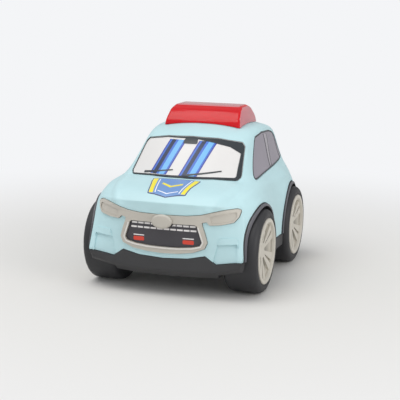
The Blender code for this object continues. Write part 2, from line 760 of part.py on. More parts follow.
def add_axle_post(chassis, side, sign):
    """A slotted post that carries the front axle, and the pillar that takes a screw of its clip."""
    inner = POST_X - POST_THICKNESS / 2
    outer = POST_X + POST_THICKNESS / 2
    slot = AXLE_RADIUS + CLEARANCE
    top = AXLE_POST_TOP
    join(chassis, side_box(f"axle_post_{side}", inner, outer, sign, FRONT_Y - POST_HALF_LENGTH,
                           FRONT_Y + POST_HALF_LENGTH, FLOOR_TOP - OVERLAP, top))
    cut(chassis, side_box(f"axle_slot_{side}", inner - OVERLAP, outer + OVERLAP, sign, FRONT_Y - slot,
                          FRONT_Y + slot, AXLE_HEIGHT - slot, top + OVERLAP))
    for end, way in (("fore", -1), ("aft", 1)):
        place = (sign * PILLAR_X, FRONT_Y + way * CLIP_REACH)
        join(chassis, rod(f"clip_pillar_{side}_{end}", place, PILLAR_RADIUS, "Z",
                          FLOOR_TOP - OVERLAP, top, sides=12))
        if way == -sign:
            cut(chassis, rod(f"clip_bore_{side}", place, SCREW_RADIUS + CLEARANCE, "Z",
                             top - SCREW_LENGTH, top + OVERLAP))


def clip_screw_places():
    return [(PILLAR_X, FRONT_Y - CLIP_REACH), (-PILLAR_X, FRONT_Y + CLIP_REACH)]


def make_clip(grey, steel):
    """The bar that closes the slots over the front axle."""
    low = AXLE_POST_TOP + CLEARANCE
    reach = CLIP_REACH + PILLAR_RADIUS
    half = POST_X + POST_THICKNESS / 2
    narrow = PILLAR_X + PILLAR_RADIUS
    short = POST_HALF_LENGTH
    outline = [(-half, FRONT_Y - short), (-narrow, FRONT_Y - short), (-narrow, FRONT_Y - reach),
               (narrow, FRONT_Y - reach), (narrow, FRONT_Y - short), (half, FRONT_Y - short),
               (half, FRONT_Y + short), (narrow, FRONT_Y + short), (narrow, FRONT_Y + reach),
               (-narrow, FRONT_Y + reach), (-narrow, FRONT_Y + short), (-half, FRONT_Y + short)]
    clip = prism("front_axle_clip", outline, "Z", low, low + CLIP_THICKNESS, finish=grey)
    for side, sign in (("left", 1), ("right", -1)):
        join(clip, side_box(f"clip_tongue_{side}", half - POST_THICKNESS, half, sign,
                            FRONT_Y - AXLE_RADIUS, FRONT_Y + AXLE_RADIUS,
                            AXLE_HEIGHT + AXLE_RADIUS + CLEARANCE, low + CLIP_THICKNESS / 2))
    for number, place in enumerate(clip_screw_places()):
        cut(clip, rod(f"clip_hole_{number}", place, SCREW_RADIUS + CLEARANCE, "Z", 0, FAR))
    top = low + CLIP_THICKNESS + CLEARANCE + SCREW_HEAD_HEIGHT
    for number, (x, y) in enumerate(clip_screw_places()):
        add_screw(f"clip_screw_{number + 1}", (x, y, top), "Z", -1, steel)


def badge_outline(growth=0.0):
    centre = TRIM_HEIGHT + BADGE_RISE
    turns = [2 * math.pi * i / BADGE_SIDES for i in range(BADGE_SIDES)]
    return [((BADGE_HALF_WIDTH + growth) * math.cos(a), centre + (BADGE_HALF_HEIGHT + growth) * math.sin(a))
            for a in turns]


def make_inlays(finishes):
    windows = ("screen", "glass", "glass", "glass")
    for (name, outline, axis, low, high), finish in zip(window_places(), windows):
        layer(name, outline, axis, low, high, -WINDOW_SUNK, -WINDOW_SUNK - WINDOW_THICKNESS, finishes[finish])
    trim = layer("front_trim", trim_outline(), "Y", *nose_span(), TRIM_PROUD, -TRIM_SUNK, finishes["grey"])
    cut(trim, prism("grille_opening", grille_outline(), "Y", NOSE_Y - 2 * BADGE_PROUD, FRONT_Y))
    join(trim, prism("badge", badge_outline(), "Y", NOSE_Y - BADGE_PROUD, NOSE_Y - 0.0001))
    panel = layer("grille_panel", grown(grille_outline(), -CLEARANCE), "Y", *nose_span(),
                  -GRILLE_SUNK, -TRIM_SUNK, finishes["dark"])
    cut(panel, prism("badge_room", badge_outline(BADGE_ROOM), "Y",
                     NOSE_Y - 2 * BADGE_PROUD, NOSE_Y + BADGE_ROOM))
    for side, sign in (("left", 1), ("right", -1)):
        layer(f"tail_lamp_{side}", tail_lamp_outline(sign), "Y", *tail_span(), LAMP_PROUD,
              -WINDOW_SUNK - WINDOW_THICKNESS, finishes["lamp"])


def bar_rings(inset):
    """Rings of the light bar from its foot to its top, drawn in by the inset."""
    start = FRONT_Y + BAR_FRONT
    end = start + BAR_LENGTH
    foot = ROOF_HEIGHT - 0.014
    # height, front, rear, half width, corner
    levels = (
        (foot, start, end, BAR_HALF_WIDTH, 0.0030),
        (ROOF_HEIGHT - 0.0030, start, end, BAR_HALF_WIDTH, 0.0030),
        (ROOF_HEIGHT + BAR_SKIRT_RISE, start + 0.0020, end - 0.0016, BAR_HALF_WIDTH - 0.0008, 0.0030),
        (BAR_HEIGHT - 0.0022, start + 0.0074, end - 0.0082, BAR_TOP_HALF_WIDTH + 0.0003, 0.0028),
        (BAR_HEIGHT, start + 0.0125, end - 0.0125, BAR_TOP_HALF_WIDTH - 0.0020, 0.0026),
    )
    rings = []
    for number, (z, front, rear, half, corner) in enumerate(levels):
        low = front + inset
        high = rear - inset
        wide = half - inset
        height = z - inset if number > 2 else z
        rings.append([
            (wide, low + corner, height), (wide, high - corner, height),
            (wide - corner * 0.3, high - corner * 0.3, height), (wide - corner, high, height),
            (corner - wide, high, height), (corner * 0.3 - wide, high - corner * 0.3, height),
            (-wide, high - corner, height), (-wide, low + corner, height),
            (corner * 0.3 - wide, low + corner * 0.3, height), (corner - wide, low, height),
            (wide - corner, low, height), (wide - corner * 0.3, low + corner * 0.3, height),
        ])
    return rings


def bar_mesh(name, inset):
    bm = bmesh.new()
    rings = [[bm.verts.new(point) for point in ring] for ring in bar_rings(inset)]
    skin(bm, rings)
    return finished_mesh(bm, name)


def make_light_bar(red):
    """A hollow lens that follows the roof, with two posts down through it."""
    lens = add_object("light_bar", bar_mesh("light_bar", 0), red)
    cut(lens, body_form("bar_seat", CLEARANCE))
    cut(lens, add_object("bar_hollow", bar_mesh("bar_hollow", BAR_WALL)))
    for side, sign in (("left", 1), ("right", -1)):
        join(lens, rod(f"bar_post_{side}", (sign * BAR_POST_X, BAR_MIDDLE_Y), BAR_POST_RADIUS, "Z",
                       ROOF_HEIGHT - BAR_POST_REACH, BAR_HEIGHT - BAR_WALL / 2, sides=12))


# Wheels and axles

def tyre_mesh():
    outer = TYRE_OUTER_X
    inner = TYRE_INNER_X
    soft = TYRE_SHOULDER
    bore = HUB_BARREL_RADIUS + CLEARANCE
    seat = RIM_RADIUS + CLEARANCE
    return turned_mesh("tyre", [
        (inner, bore), (inner, TYRE_RADIUS - soft),
        (inner + soft * 0.3, TYRE_RADIUS - soft * 0.3), (inner + soft, TYRE_RADIUS),
        (outer - soft, TYRE_RADIUS), (outer - soft * 0.3, TYRE_RADIUS - soft * 0.3),
        (outer, TYRE_RADIUS - soft), (outer - 0.0002, seat), (RIM_FACE_X - RIM_DEPTH - CLEARANCE, seat),
        (RIM_FACE_X - RIM_DEPTH - CLEARANCE, bore)], TYRE_SIDES)


def hub_mesh():
    """A plug inside the tyre, with a dished face and a ring round it."""
    barrel = HUB_BARREL_RADIUS
    back = TYRE_INNER_X + OVERLAP
    face = RIM_FACE_X
    web = face - DISH_DEPTH
    bore = AXLE_RADIUS + CLEARANCE
    return turned_mesh("hub", [
        (AXLE_END_X + CLEARANCE, 0), (AXLE_END_X + CLEARANCE, bore), (back, bore), (back, barrel),
        (face - RIM_DEPTH, barrel), (face - RIM_DEPTH, RIM_RADIUS), (face - 0.0004, RIM_RADIUS),
        (face, RIM_RADIUS - 0.0004), (face, barrel + 0.0002), (face - 0.0012, barrel - 0.0006),
        (web, HUB_BOSS_RADIUS), (web, 0)], HUB_SIDES)


def spoke_windows(label, place, sign):
    """Recesses between the spokes: a wide one between pairs and a narrow one inside each pair."""
    low = RIM_FACE_X - DISH_DEPTH - WINDOW_DEPTH
    top = RIM_FACE_X + WINDOW_DEPTH
    turn = 2 * math.pi / SPOKE_PAIRS
    outer = HUB_BARREL_RADIUS - 0.0012
    # share of a turn, inner end, half widths at the inner and outer ends
    kinds = ((0, HUB_BOSS_RADIUS + 0.0012, 0.0009, 0.0048), (0.5, HUB_BOSS_RADIUS + 0.0027, 0.0004, 0.0013))
    bm = bmesh.new()
    for i in range(SPOKE_PAIRS):
        for share, inner, half_inner, half_outer in kinds:
            across, up = math.cos((i + share) * turn), math.sin((i + share) * turn)
            corners = [(inner, -half_inner), (outer, -half_outer), (outer, half_outer), (inner, half_inner)]
            places = [(r * across - t * up, r * up + t * across) for r, t in corners]
            depths = [low + DISH_SLOPE * (r - inner) for r, t in corners]
            bottom = [bm.verts.new((sign * x, *p)) for x, p in zip(depths, places)]
            skin(bm, [bottom, [bm.verts.new((sign * top, *p)) for p in places]])
    return add_object(f"spoke_windows_{label}", finished_mesh(bm, "windows"), place=place)


def flipped(mesh, name):
    """The same turned shape for the other side of the car."""
    bm = bmesh.new()
    bm.from_mesh(mesh)
    for vert in bm.verts:
        vert.co.x = -vert.co.x
    return finished_mesh(bm, name, smooth_angle=35)


def make_wheels(finishes):
    tyre = tyre_mesh()
    hub = hub_mesh()
    shapes = {1: (tyre, hub), -1: (flipped(tyre, "tyre_right"), flipped(hub, "hub_right"))}
    for mesh in (tyre, shapes[-1][0]):
        mesh.materials.append(finishes["rubber"])
    for mesh in (hub, shapes[-1][1]):
        mesh.materials.append(finishes["grey"])
    axle = shaft_mesh("axle", AXLE_RADIUS, -AXLE_END_X, AXLE_END_X, 16)
    axle.materials.append(finishes["steel"])
    centres = {}
    for end, axle_y in (("front", FRONT_Y), ("rear", REAR_Y)):
        centre = add_object(f"{end}_axle_centre", None, place=(0, axle_y, AXLE_HEIGHT))
        centres[end] = centre
        add_object(f"{end}_axle", axle, parent=centre)
        for side, sign in (("left", 1), ("right", -1)):
            add_object(f"tyre_{end}_{side}", shapes[sign][0], parent=centre)
            wheel = add_object(f"hub_{end}_{side}", shapes[sign][1], parent=centre)
            cut(wheel, spoke_windows(f"{end}_{side}", centre.location, sign))
    return centres


def shaft_mesh(name, radius, low, high, sides):
    return turned_mesh(name, [(low, 0), (low, radius), (high, radius), (high, 0)], sides)


# Friction motor

def pitch_radius(teeth):
    return GEAR_MODULE * teeth / 2


def gear_outline(teeth, phase):
    """Straight-sided teeth, thinner than half the pitch, so that a pair runs with backlash."""
    pitch = 2 * math.pi / teeth
    root = pitch_radius(teeth) - 1.15 * GEAR_MODULE
    tip = pitch_radius(teeth) + 0.75 * GEAR_MODULE
    points = []
    for i in range(teeth):
        for radius, share in ((root, -0.29), (tip, -0.10), (tip, 0.10), (root, 0.29)):
            angle = phase + (i + share) * pitch
            points.append((radius * math.cos(angle), radius * math.sin(angle)))
    return points


def motor_places():
    """Centres of the axle gear, the idler and the flywheel's arbor in (y, z)."""
    axle = (REAR_Y, AXLE_HEIGHT)
    reach = pitch_radius(AXLE_GEAR_TEETH + IDLER_PINION_TEETH)
    idler = (axle[0] + reach * math.cos(IDLER_ANGLE), axle[1] + reach * math.sin(IDLER_ANGLE))
    reach = pitch_radius(IDLER_WHEEL_TEETH + ARBOR_TEETH)
    arbor = (idler[0] + reach * math.cos(ARBOR_ANGLE), idler[1] + reach * math.sin(ARBOR_ANGLE))
    return axle, idler, arbor


def meshing_phase(angle, teeth):
    """The turn that puts a gap of the driven gear in front of a tooth that points along the angle."""
    return angle + math.pi + math.pi / teeth


def motor_box():
    """Inner room of the motor's casing in side view, as low and high corners in (y, z)."""
    axle, idler, arbor = motor_places()
    tip = 0.75 * GEAR_MODULE
    low_y = arbor[0] - FLYWHEEL_RADIUS - MOTOR_ROOM
    high_y = axle[0] + pitch_radius(AXLE_GEAR_TEETH) + tip + MOTOR_ROOM
    high_z = idler[1] + pitch_radius(IDLER_WHEEL_TEETH) + tip + MOTOR_ROOM
    low_z = FLOOR_TOP + CLEARANCE + MOTOR_WALL
    return low_y, high_y, low_z, high_z


# Places of the gears across the car, from the flywheel on the right to the cover on the left
FLYWHEEL_LOW_X = -0.0085
ARBOR_GEAR_X = FLYWHEEL_LOW_X + FLYWHEEL_THICKNESS + 2 * CLEARANCE
IDLER_WHEEL_X = ARBOR_GEAR_X + CLEARANCE
IDLER_PINION_X = IDLER_WHEEL_X + GEAR_FACE
AXLE_GEAR_X = IDLER_PINION_X + 3 * CLEARANCE
CASE_LOW_X = FLYWHEEL_LOW_X - MOTOR_ROOM
CASE_HIGH_X = AXLE_GEAR_X + GEAR_FACE + 2 * CLEARANCE + MOTOR_ROOM


def motor_screw_places():
    low_y, high_y, _, _ = motor_box()
    reach = MOTOR_WALL + FOOT_LENGTH / 2
    return [(0, low_y - reach), (0, high_y + reach)]


def lug_places():
    low_y, high_y, _, high_z = motor_box()
    inset = LUG_RADIUS - 0.0006
    return [(low_y + inset, high_z - inset), (high_y - inset, high_z - inset)]


def make_motor_case(finishes):
    low_y, high_y, low_z, high_z = motor_box()
    wall = MOTOR_WALL
    axle, idler, arbor = motor_places()
    outer = ((low_y - wall, low_z - wall), (high_y + wall, high_z + wall))
    case = box("motor_case", (CASE_LOW_X - wall, *outer[0]), (CASE_HIGH_X, *outer[1]),
               finish=finishes["dark"])
    cut(case, box("motor_room", (CASE_LOW_X, low_y, low_z), (CASE_HIGH_X + 0.010, high_y, high_z)))
    for number, place in enumerate(lug_places()):
        join(case, rod(f"motor_lug_{number}", place, LUG_RADIUS, "X",
                       CASE_LOW_X - wall / 2, CASE_HIGH_X, sides=12))
        cut(case, rod(f"motor_lug_bore_{number}", place, SCREW_RADIUS + CLEARANCE, "X",
                      CASE_HIGH_X - SCREW_LENGTH, FAR))
    for number, (x, y) in enumerate(motor_screw_places()):
        half = (FOOT_LENGTH + wall) / 2
        shift = wall / 2 if number == 0 else -wall / 2
        foot = box(f"motor_foot_{number}", (-FOOT_HALF_WIDTH, y + shift - half, low_z - wall),
                   (FOOT_HALF_WIDTH, y + shift + half, low_z - wall + FOOT_HEIGHT))
        join(case, foot)
        cut(case, rod(f"motor_foot_bore_{number}", (x, y), SCREW_RADIUS + CLEARANCE, "Z", 0,
                      low_z - wall + FOOT_HEIGHT - 0.001))
    plate_low = CASE_HIGH_X + CLEARANCE
    cover = box("motor_cover", (plate_low, *outer[0]), (plate_low + wall, *outer[1]), finish=finishes["dark"])
    holes = ((axle, AXLE_RADIUS), (idler, PIN_RADIUS), (arbor, PIN_RADIUS))
    for number, (place, radius) in enumerate(holes):
        hole = rod(f"motor_hole_{number}", place, radius + CLEARANCE, "X", -FAR, FAR)
        cut(case, hole)
        cut(cover, hole)
    for number, place in enumerate(lug_places()):
        cut(cover, rod(f"cover_hole_{number}", place, SCREW_RADIUS + CLEARANCE, "X", 0, FAR))
    return plate_low + wall


def make_gear_train(finishes, rear_centre):
    axle, idler, arbor = motor_places()
    teeth_angle = IDLER_ANGLE
    gear = prism("axle_gear", gear_outline(AXLE_GEAR_TEETH, teeth_angle), "X",
                 AXLE_GEAR_X, AXLE_GEAR_X + GEAR_FACE, finish=finishes["nylon"], parent=rear_centre)
    cut(gear, rod("axle_gear_bore", axle, AXLE_RADIUS + CLEARANCE, "X", -FAR, FAR))

    centre = add_object("idler_centre", None, place=(0, *idler))
    pinion_phase = meshing_phase(IDLER_ANGLE, IDLER_PINION_TEETH)
    wheel_phase = ARBOR_ANGLE
    idler_gear = prism("idler_gear", gear_outline(IDLER_WHEEL_TEETH, wheel_phase), "X",
                       IDLER_WHEEL_X, IDLER_PINION_X, finish=finishes["nylon"], parent=centre)
    pinion = prism("idler_pinion", gear_outline(IDLER_PINION_TEETH, pinion_phase), "X",
                   IDLER_PINION_X - 0.0005, AXLE_GEAR_X + GEAR_FACE + CLEARANCE, parent=centre)
    join(idler_gear, pinion)
    cut(idler_gear, rod("idler_bore", idler, PIN_RADIUS + CLEARANCE, "X", -FAR, FAR))
    pin_ends = (CASE_LOW_X - MOTOR_WALL + CLEARANCE, CASE_HIGH_X + MOTOR_WALL)
    pin = shaft_mesh("idler_pin", PIN_RADIUS, *pin_ends, 12)
    add_object("idler_pin", pin, finishes["steel"], place=(0, *idler))

    centre = add_object("arbor_centre", None, place=(0, *arbor))
    shaft = shaft_mesh("flywheel_arbor", PIN_RADIUS, *pin_ends, 12)
    flywheel_arbor = add_object("flywheel_arbor", shaft, finishes["steel"], parent=centre)
    arbor_phase = meshing_phase(ARBOR_ANGLE, ARBOR_TEETH)
    teeth = prism("arbor_teeth", gear_outline(ARBOR_TEETH, arbor_phase), "X",
                  ARBOR_GEAR_X, IDLER_PINION_X + CLEARANCE, parent=centre)
    join(flywheel_arbor, teeth)
    bore = PIN_RADIUS + CLEARANCE
    low = FLYWHEEL_LOW_X
    high = FLYWHEEL_LOW_X + FLYWHEEL_THICKNESS
    disc = turned_mesh("flywheel", [
        (low, bore), (low, FLYWHEEL_RADIUS - 0.0005), (low + 0.0005, FLYWHEEL_RADIUS),
        (high - 0.0005, FLYWHEEL_RADIUS), (high, FLYWHEEL_RADIUS - 0.0005), (high, bore)], 32)
    add_object("flywheel", disc, finishes["steel"], parent=centre)


def main():
    remove_everything()
    finishes = {
        "blue": material("light_blue_abs", (0.46, 0.75, 0.80), 0.42),
        "black": material("charcoal_abs", (0.028, 0.028, 0.031), 0.45),
        "rubber": material("black_rubber", (0.022, 0.022, 0.024), 0.60),
        "grey": material("warm_grey_abs", (0.50, 0.48, 0.44), 0.40),
        "screen": material("printed_white_abs", (0.80, 0.80, 0.78), 0.30),
        "glass": material("smoke_grey_abs", (0.27, 0.25, 0.28), 0.30),
        "dark": material("dark_grey_abs", (0.05, 0.05, 0.055), 0.45),
        "lamp": material("red_lamp_plastic", (0.55, 0.02, 0.03), 0.20),
        "bar": material("clear_red_plastic", (0.62, 0.02, 0.03), 0.12),
        "steel": material("steel", (0.62, 0.62, 0.64), 0.30, metallic=1.0),
        "nylon": material("white_nylon", (0.80, 0.79, 0.75), 0.45),
    }
    make_shell(finishes["blue"])
    make_chassis(finishes["black"])
    make_clip(finishes["dark"], finishes["steel"])
    make_inlays(finishes)
    make_light_bar(finishes["bar"])
    centres = make_wheels(finishes)
    face_x = make_motor_case(finishes)
    head_x = face_x + CLEARANCE + SCREW_HEAD_HEIGHT
    make_gear_train(finishes, centres["rear"])
    for number, (x, y) in enumerate(boss_places()):
        add_screw(f"chassis_screw_{number + 1}", (x, y, TRAY_BOTTOM), "Z", 1, finishes["steel"])
    for number, (x, y) in enumerate(motor_screw_places()):
        add_screw(f"motor_screw_{number + 1}", (x, y, TRAY_BOTTOM), "Z", 1, finishes["steel"])
    for number, (y, z) in enumerate(lug_places()):
        add_screw(f"cover_screw_{number + 1}", (head_x, y, z), "X", -1, finishes["steel"])


main()
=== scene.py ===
"""A friction-drive toy car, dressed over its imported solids: shell, tray, inlays, light bar and wheels.

Metres throughout. The nose points along -Y, +Z is up and the car's left side is at +X.
"""

import math

import bpy
from mathutils import Matrix, Vector
from mathutils.bvhtree import BVHTree
from mathutils.interpolate import poly_3d_calc


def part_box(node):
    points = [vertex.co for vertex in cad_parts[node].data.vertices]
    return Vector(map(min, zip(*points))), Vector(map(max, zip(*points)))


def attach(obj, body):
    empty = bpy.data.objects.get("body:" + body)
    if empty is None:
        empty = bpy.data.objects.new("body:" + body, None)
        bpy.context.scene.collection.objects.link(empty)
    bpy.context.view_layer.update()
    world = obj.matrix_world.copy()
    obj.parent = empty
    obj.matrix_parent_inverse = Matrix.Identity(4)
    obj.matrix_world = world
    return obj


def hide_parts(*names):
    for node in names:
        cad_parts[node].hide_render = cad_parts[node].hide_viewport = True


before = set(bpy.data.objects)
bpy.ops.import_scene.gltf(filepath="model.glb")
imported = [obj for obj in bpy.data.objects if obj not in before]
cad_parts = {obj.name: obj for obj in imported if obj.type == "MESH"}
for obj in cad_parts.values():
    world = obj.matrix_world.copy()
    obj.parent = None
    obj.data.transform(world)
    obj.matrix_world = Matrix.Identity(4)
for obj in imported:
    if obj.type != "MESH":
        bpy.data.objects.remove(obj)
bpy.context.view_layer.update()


# The camera stands to the car's left of the nose, a little above the roof, with a long lens.
# It is placed from the front axle, and the whole car sits in the middle of the frame.

front_low, front_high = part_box("front_axle")
rear_low, rear_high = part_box("rear_axle")
FRONT_Y = (front_low.y + front_high.y) / 2
REAR_Y = (rear_low.y + rear_high.y) / 2
AXLE_HEIGHT = (front_low.z + front_high.z) / 2

camera_place = Vector((0.1899, FRONT_Y - 0.5526, 0.1690))
camera_heading = math.radians(17.86)
camera_dip = math.radians(11.36)
camera_roll = math.radians(0.8)

bpy.ops.object.select_all(action="DESELECT")
bpy.ops.object.camera_add(location=camera_place)
camera = bpy.context.object
camera.name = "camera"
camera.rotation_euler = (
    Matrix.Rotation(camera_heading, 3, "Z")
    @ Matrix.Rotation(math.pi / 2 - camera_dip, 3, "X")
    @ Matrix.Rotation(camera_roll, 3, "Z")
).to_euler()
camera.data.lens = 90
camera.data.sensor_width = 36
camera.data.clip_start = 0.01
bpy.context.scene.camera = camera


# A white paper sweep under and behind the car, lit by a big soft lamp above and to the left,
# a weaker one on the right, and a pale room all round.

def linear(code):
    """A colour written as a web code, for a shader socket."""
    parts = [int(code[i:i + 2], 16) / 255 for i in (1, 3, 5)]
    return (*[c / 12.92 if c < 0.04045 else ((c + 0.055) / 1.055) ** 2.4 for c in parts], 1.0)


def add_node(tree, kind, **values):
    """Adds a shader node and sets its options and inputs by name."""
    made = tree.nodes.new("ShaderNode" + kind)
    for name, value in values.items():
        socket = name.replace("_", " ")
        if hasattr(made, name):
            setattr(made, name, value)
        else:
            made.inputs[socket].default_value = value
    return made


def wire(tree, start, output, end, socket):
    tree.links.new(start.outputs[output], end.inputs[socket])


def new_finish(name):
    """A material, its nodes and its main shader."""
    made = bpy.data.materials.new(name)
    made.use_nodes = True
    return made, made.node_tree, made.node_tree.nodes["Principled BSDF"]


bpy.ops.object.select_all(action="DESELECT")
bpy.ops.mesh.primitive_plane_add(size=6, location=(0, 0, 0))
floor = bpy.context.object
floor.name = "paper_sweep"
bpy.ops.object.mode_set(mode="EDIT")
bpy.ops.mesh.select_mode(type="EDGE")
bpy.ops.mesh.select_all(action="DESELECT")
bpy.ops.object.mode_set(mode="OBJECT")
for edge in floor.data.edges:
    ends = [floor.data.vertices[i].co.y for i in edge.vertices]
    edge.select = min(ends) > 1
bpy.ops.object.mode_set(mode="EDIT")
bpy.ops.mesh.extrude_region_move(TRANSFORM_OT_translate={"value": (0, 0, 4)})
bpy.ops.object.mode_set(mode="OBJECT")
curve = floor.modifiers.new("curve", "BEVEL")
curve.width = 1.2
curve.segments = 16
bpy.ops.object.modifier_apply(modifier="curve")
bpy.ops.object.shade_smooth()

paper, tree, shader = new_finish("white_paper")
shader.inputs["Base Color"].default_value = linear("#DEDDDA")
shader.inputs["Roughness"].default_value = 0.9
shader.inputs["Specular IOR Level"].default_value = 0.1
# Far from the car the paper is as bright as the backdrop, for the camera only
place = add_node(tree, "TexCoord")
away = add_node(tree, "VectorMath", operation="LENGTH")
fade = add_node(tree, "MapRange", interpolation_type="SMOOTHSTEP", From_Min=0.08, From_Max=0.42)
seen = add_node(tree, "LightPath")
share = add_node(tree, "Math", operation="MULTIPLY")
far = add_node(tree, "Emission", Color=linear("#F4F5F7"))
blend = add_node(tree, "MixShader")
wire(tree, place, "Object", away, "Vector")
wire(tree, away, "Value", fade, "Value")
wire(tree, fade, "Result", share, 0)
wire(tree, seen, "Is Camera Ray", share, 1)
wire(tree, share, "Value", blend, 0)
wire(tree, shader, "BSDF", blend, 1)
wire(tree, far, "Emission", blend, 2)
wire(tree, blend, "Shader", tree.nodes["Material Output"], "Surface")
floor.data.materials.append(paper)


def add_lamp(name, place, aim, size, power, colour):
    bpy.ops.object.light_add(type="AREA", location=place)
    lamp = bpy.context.object
    lamp.name = name
    lamp.data.shape = "DISK"
    lamp.data.size = size
    lamp.data.energy = power
    lamp.data.color = linear(colour)[:3]
    lamp.rotation_euler = (Vector(aim) - Vector(place)).to_track_quat("-Z", "Y").to_euler()


add_lamp("top_lamp", (-0.35, -0.35, 1.1), (0, 0, 0.03), 0.9, 6.2, "#FFFDFA")
add_lamp("side_lamp", (0.95, -0.35, 0.45), (0, 0, 0.04), 0.7, 3.4, "#FFFCF8")

world = bpy.data.worlds.new("pale_room")
bpy.context.scene.world = world
world.use_nodes = True
world.node_tree.nodes["Background"].inputs["Color"].default_value = linear("#F6F8FC")
world.node_tree.nodes["Background"].inputs["Strength"].default_value = 0.72
bpy.context.scene.view_settings.view_transform = "Standard"


# The car's outer form: one cage of listed points for the left half, mirrored and subdivided.
# Shell, tray and every inlay follow it, each at its own depth. It isn't a piece by itself.

WHEELBASE = REAR_Y - FRONT_Y
NOSE = -0.0313
TAIL = WHEELBASE + 0.0313
NOSE_Y = FRONT_Y + NOSE
TAIL_Y = FRONT_Y + TAIL
BODY_HALF_WIDTH = 0.0515
WAIST = BODY_HALF_WIDTH - 0.0017
BELT_HALF_WIDTH = 0.0415
ROOF_HALF_WIDTH = 0.0345
ROOF_HEIGHT = 0.0950
BELT_HEIGHT = 0.0640
SHOULDER_HEIGHT = 0.0520
PARTING_HEIGHT = 0.0243
TRAY_BOTTOM = 0.0123
CHIN_RISE = 0.0042
CHIN_CORNER_RISE = 0.0075
CHIN_SETBACK = 0.0045
FINE = 4


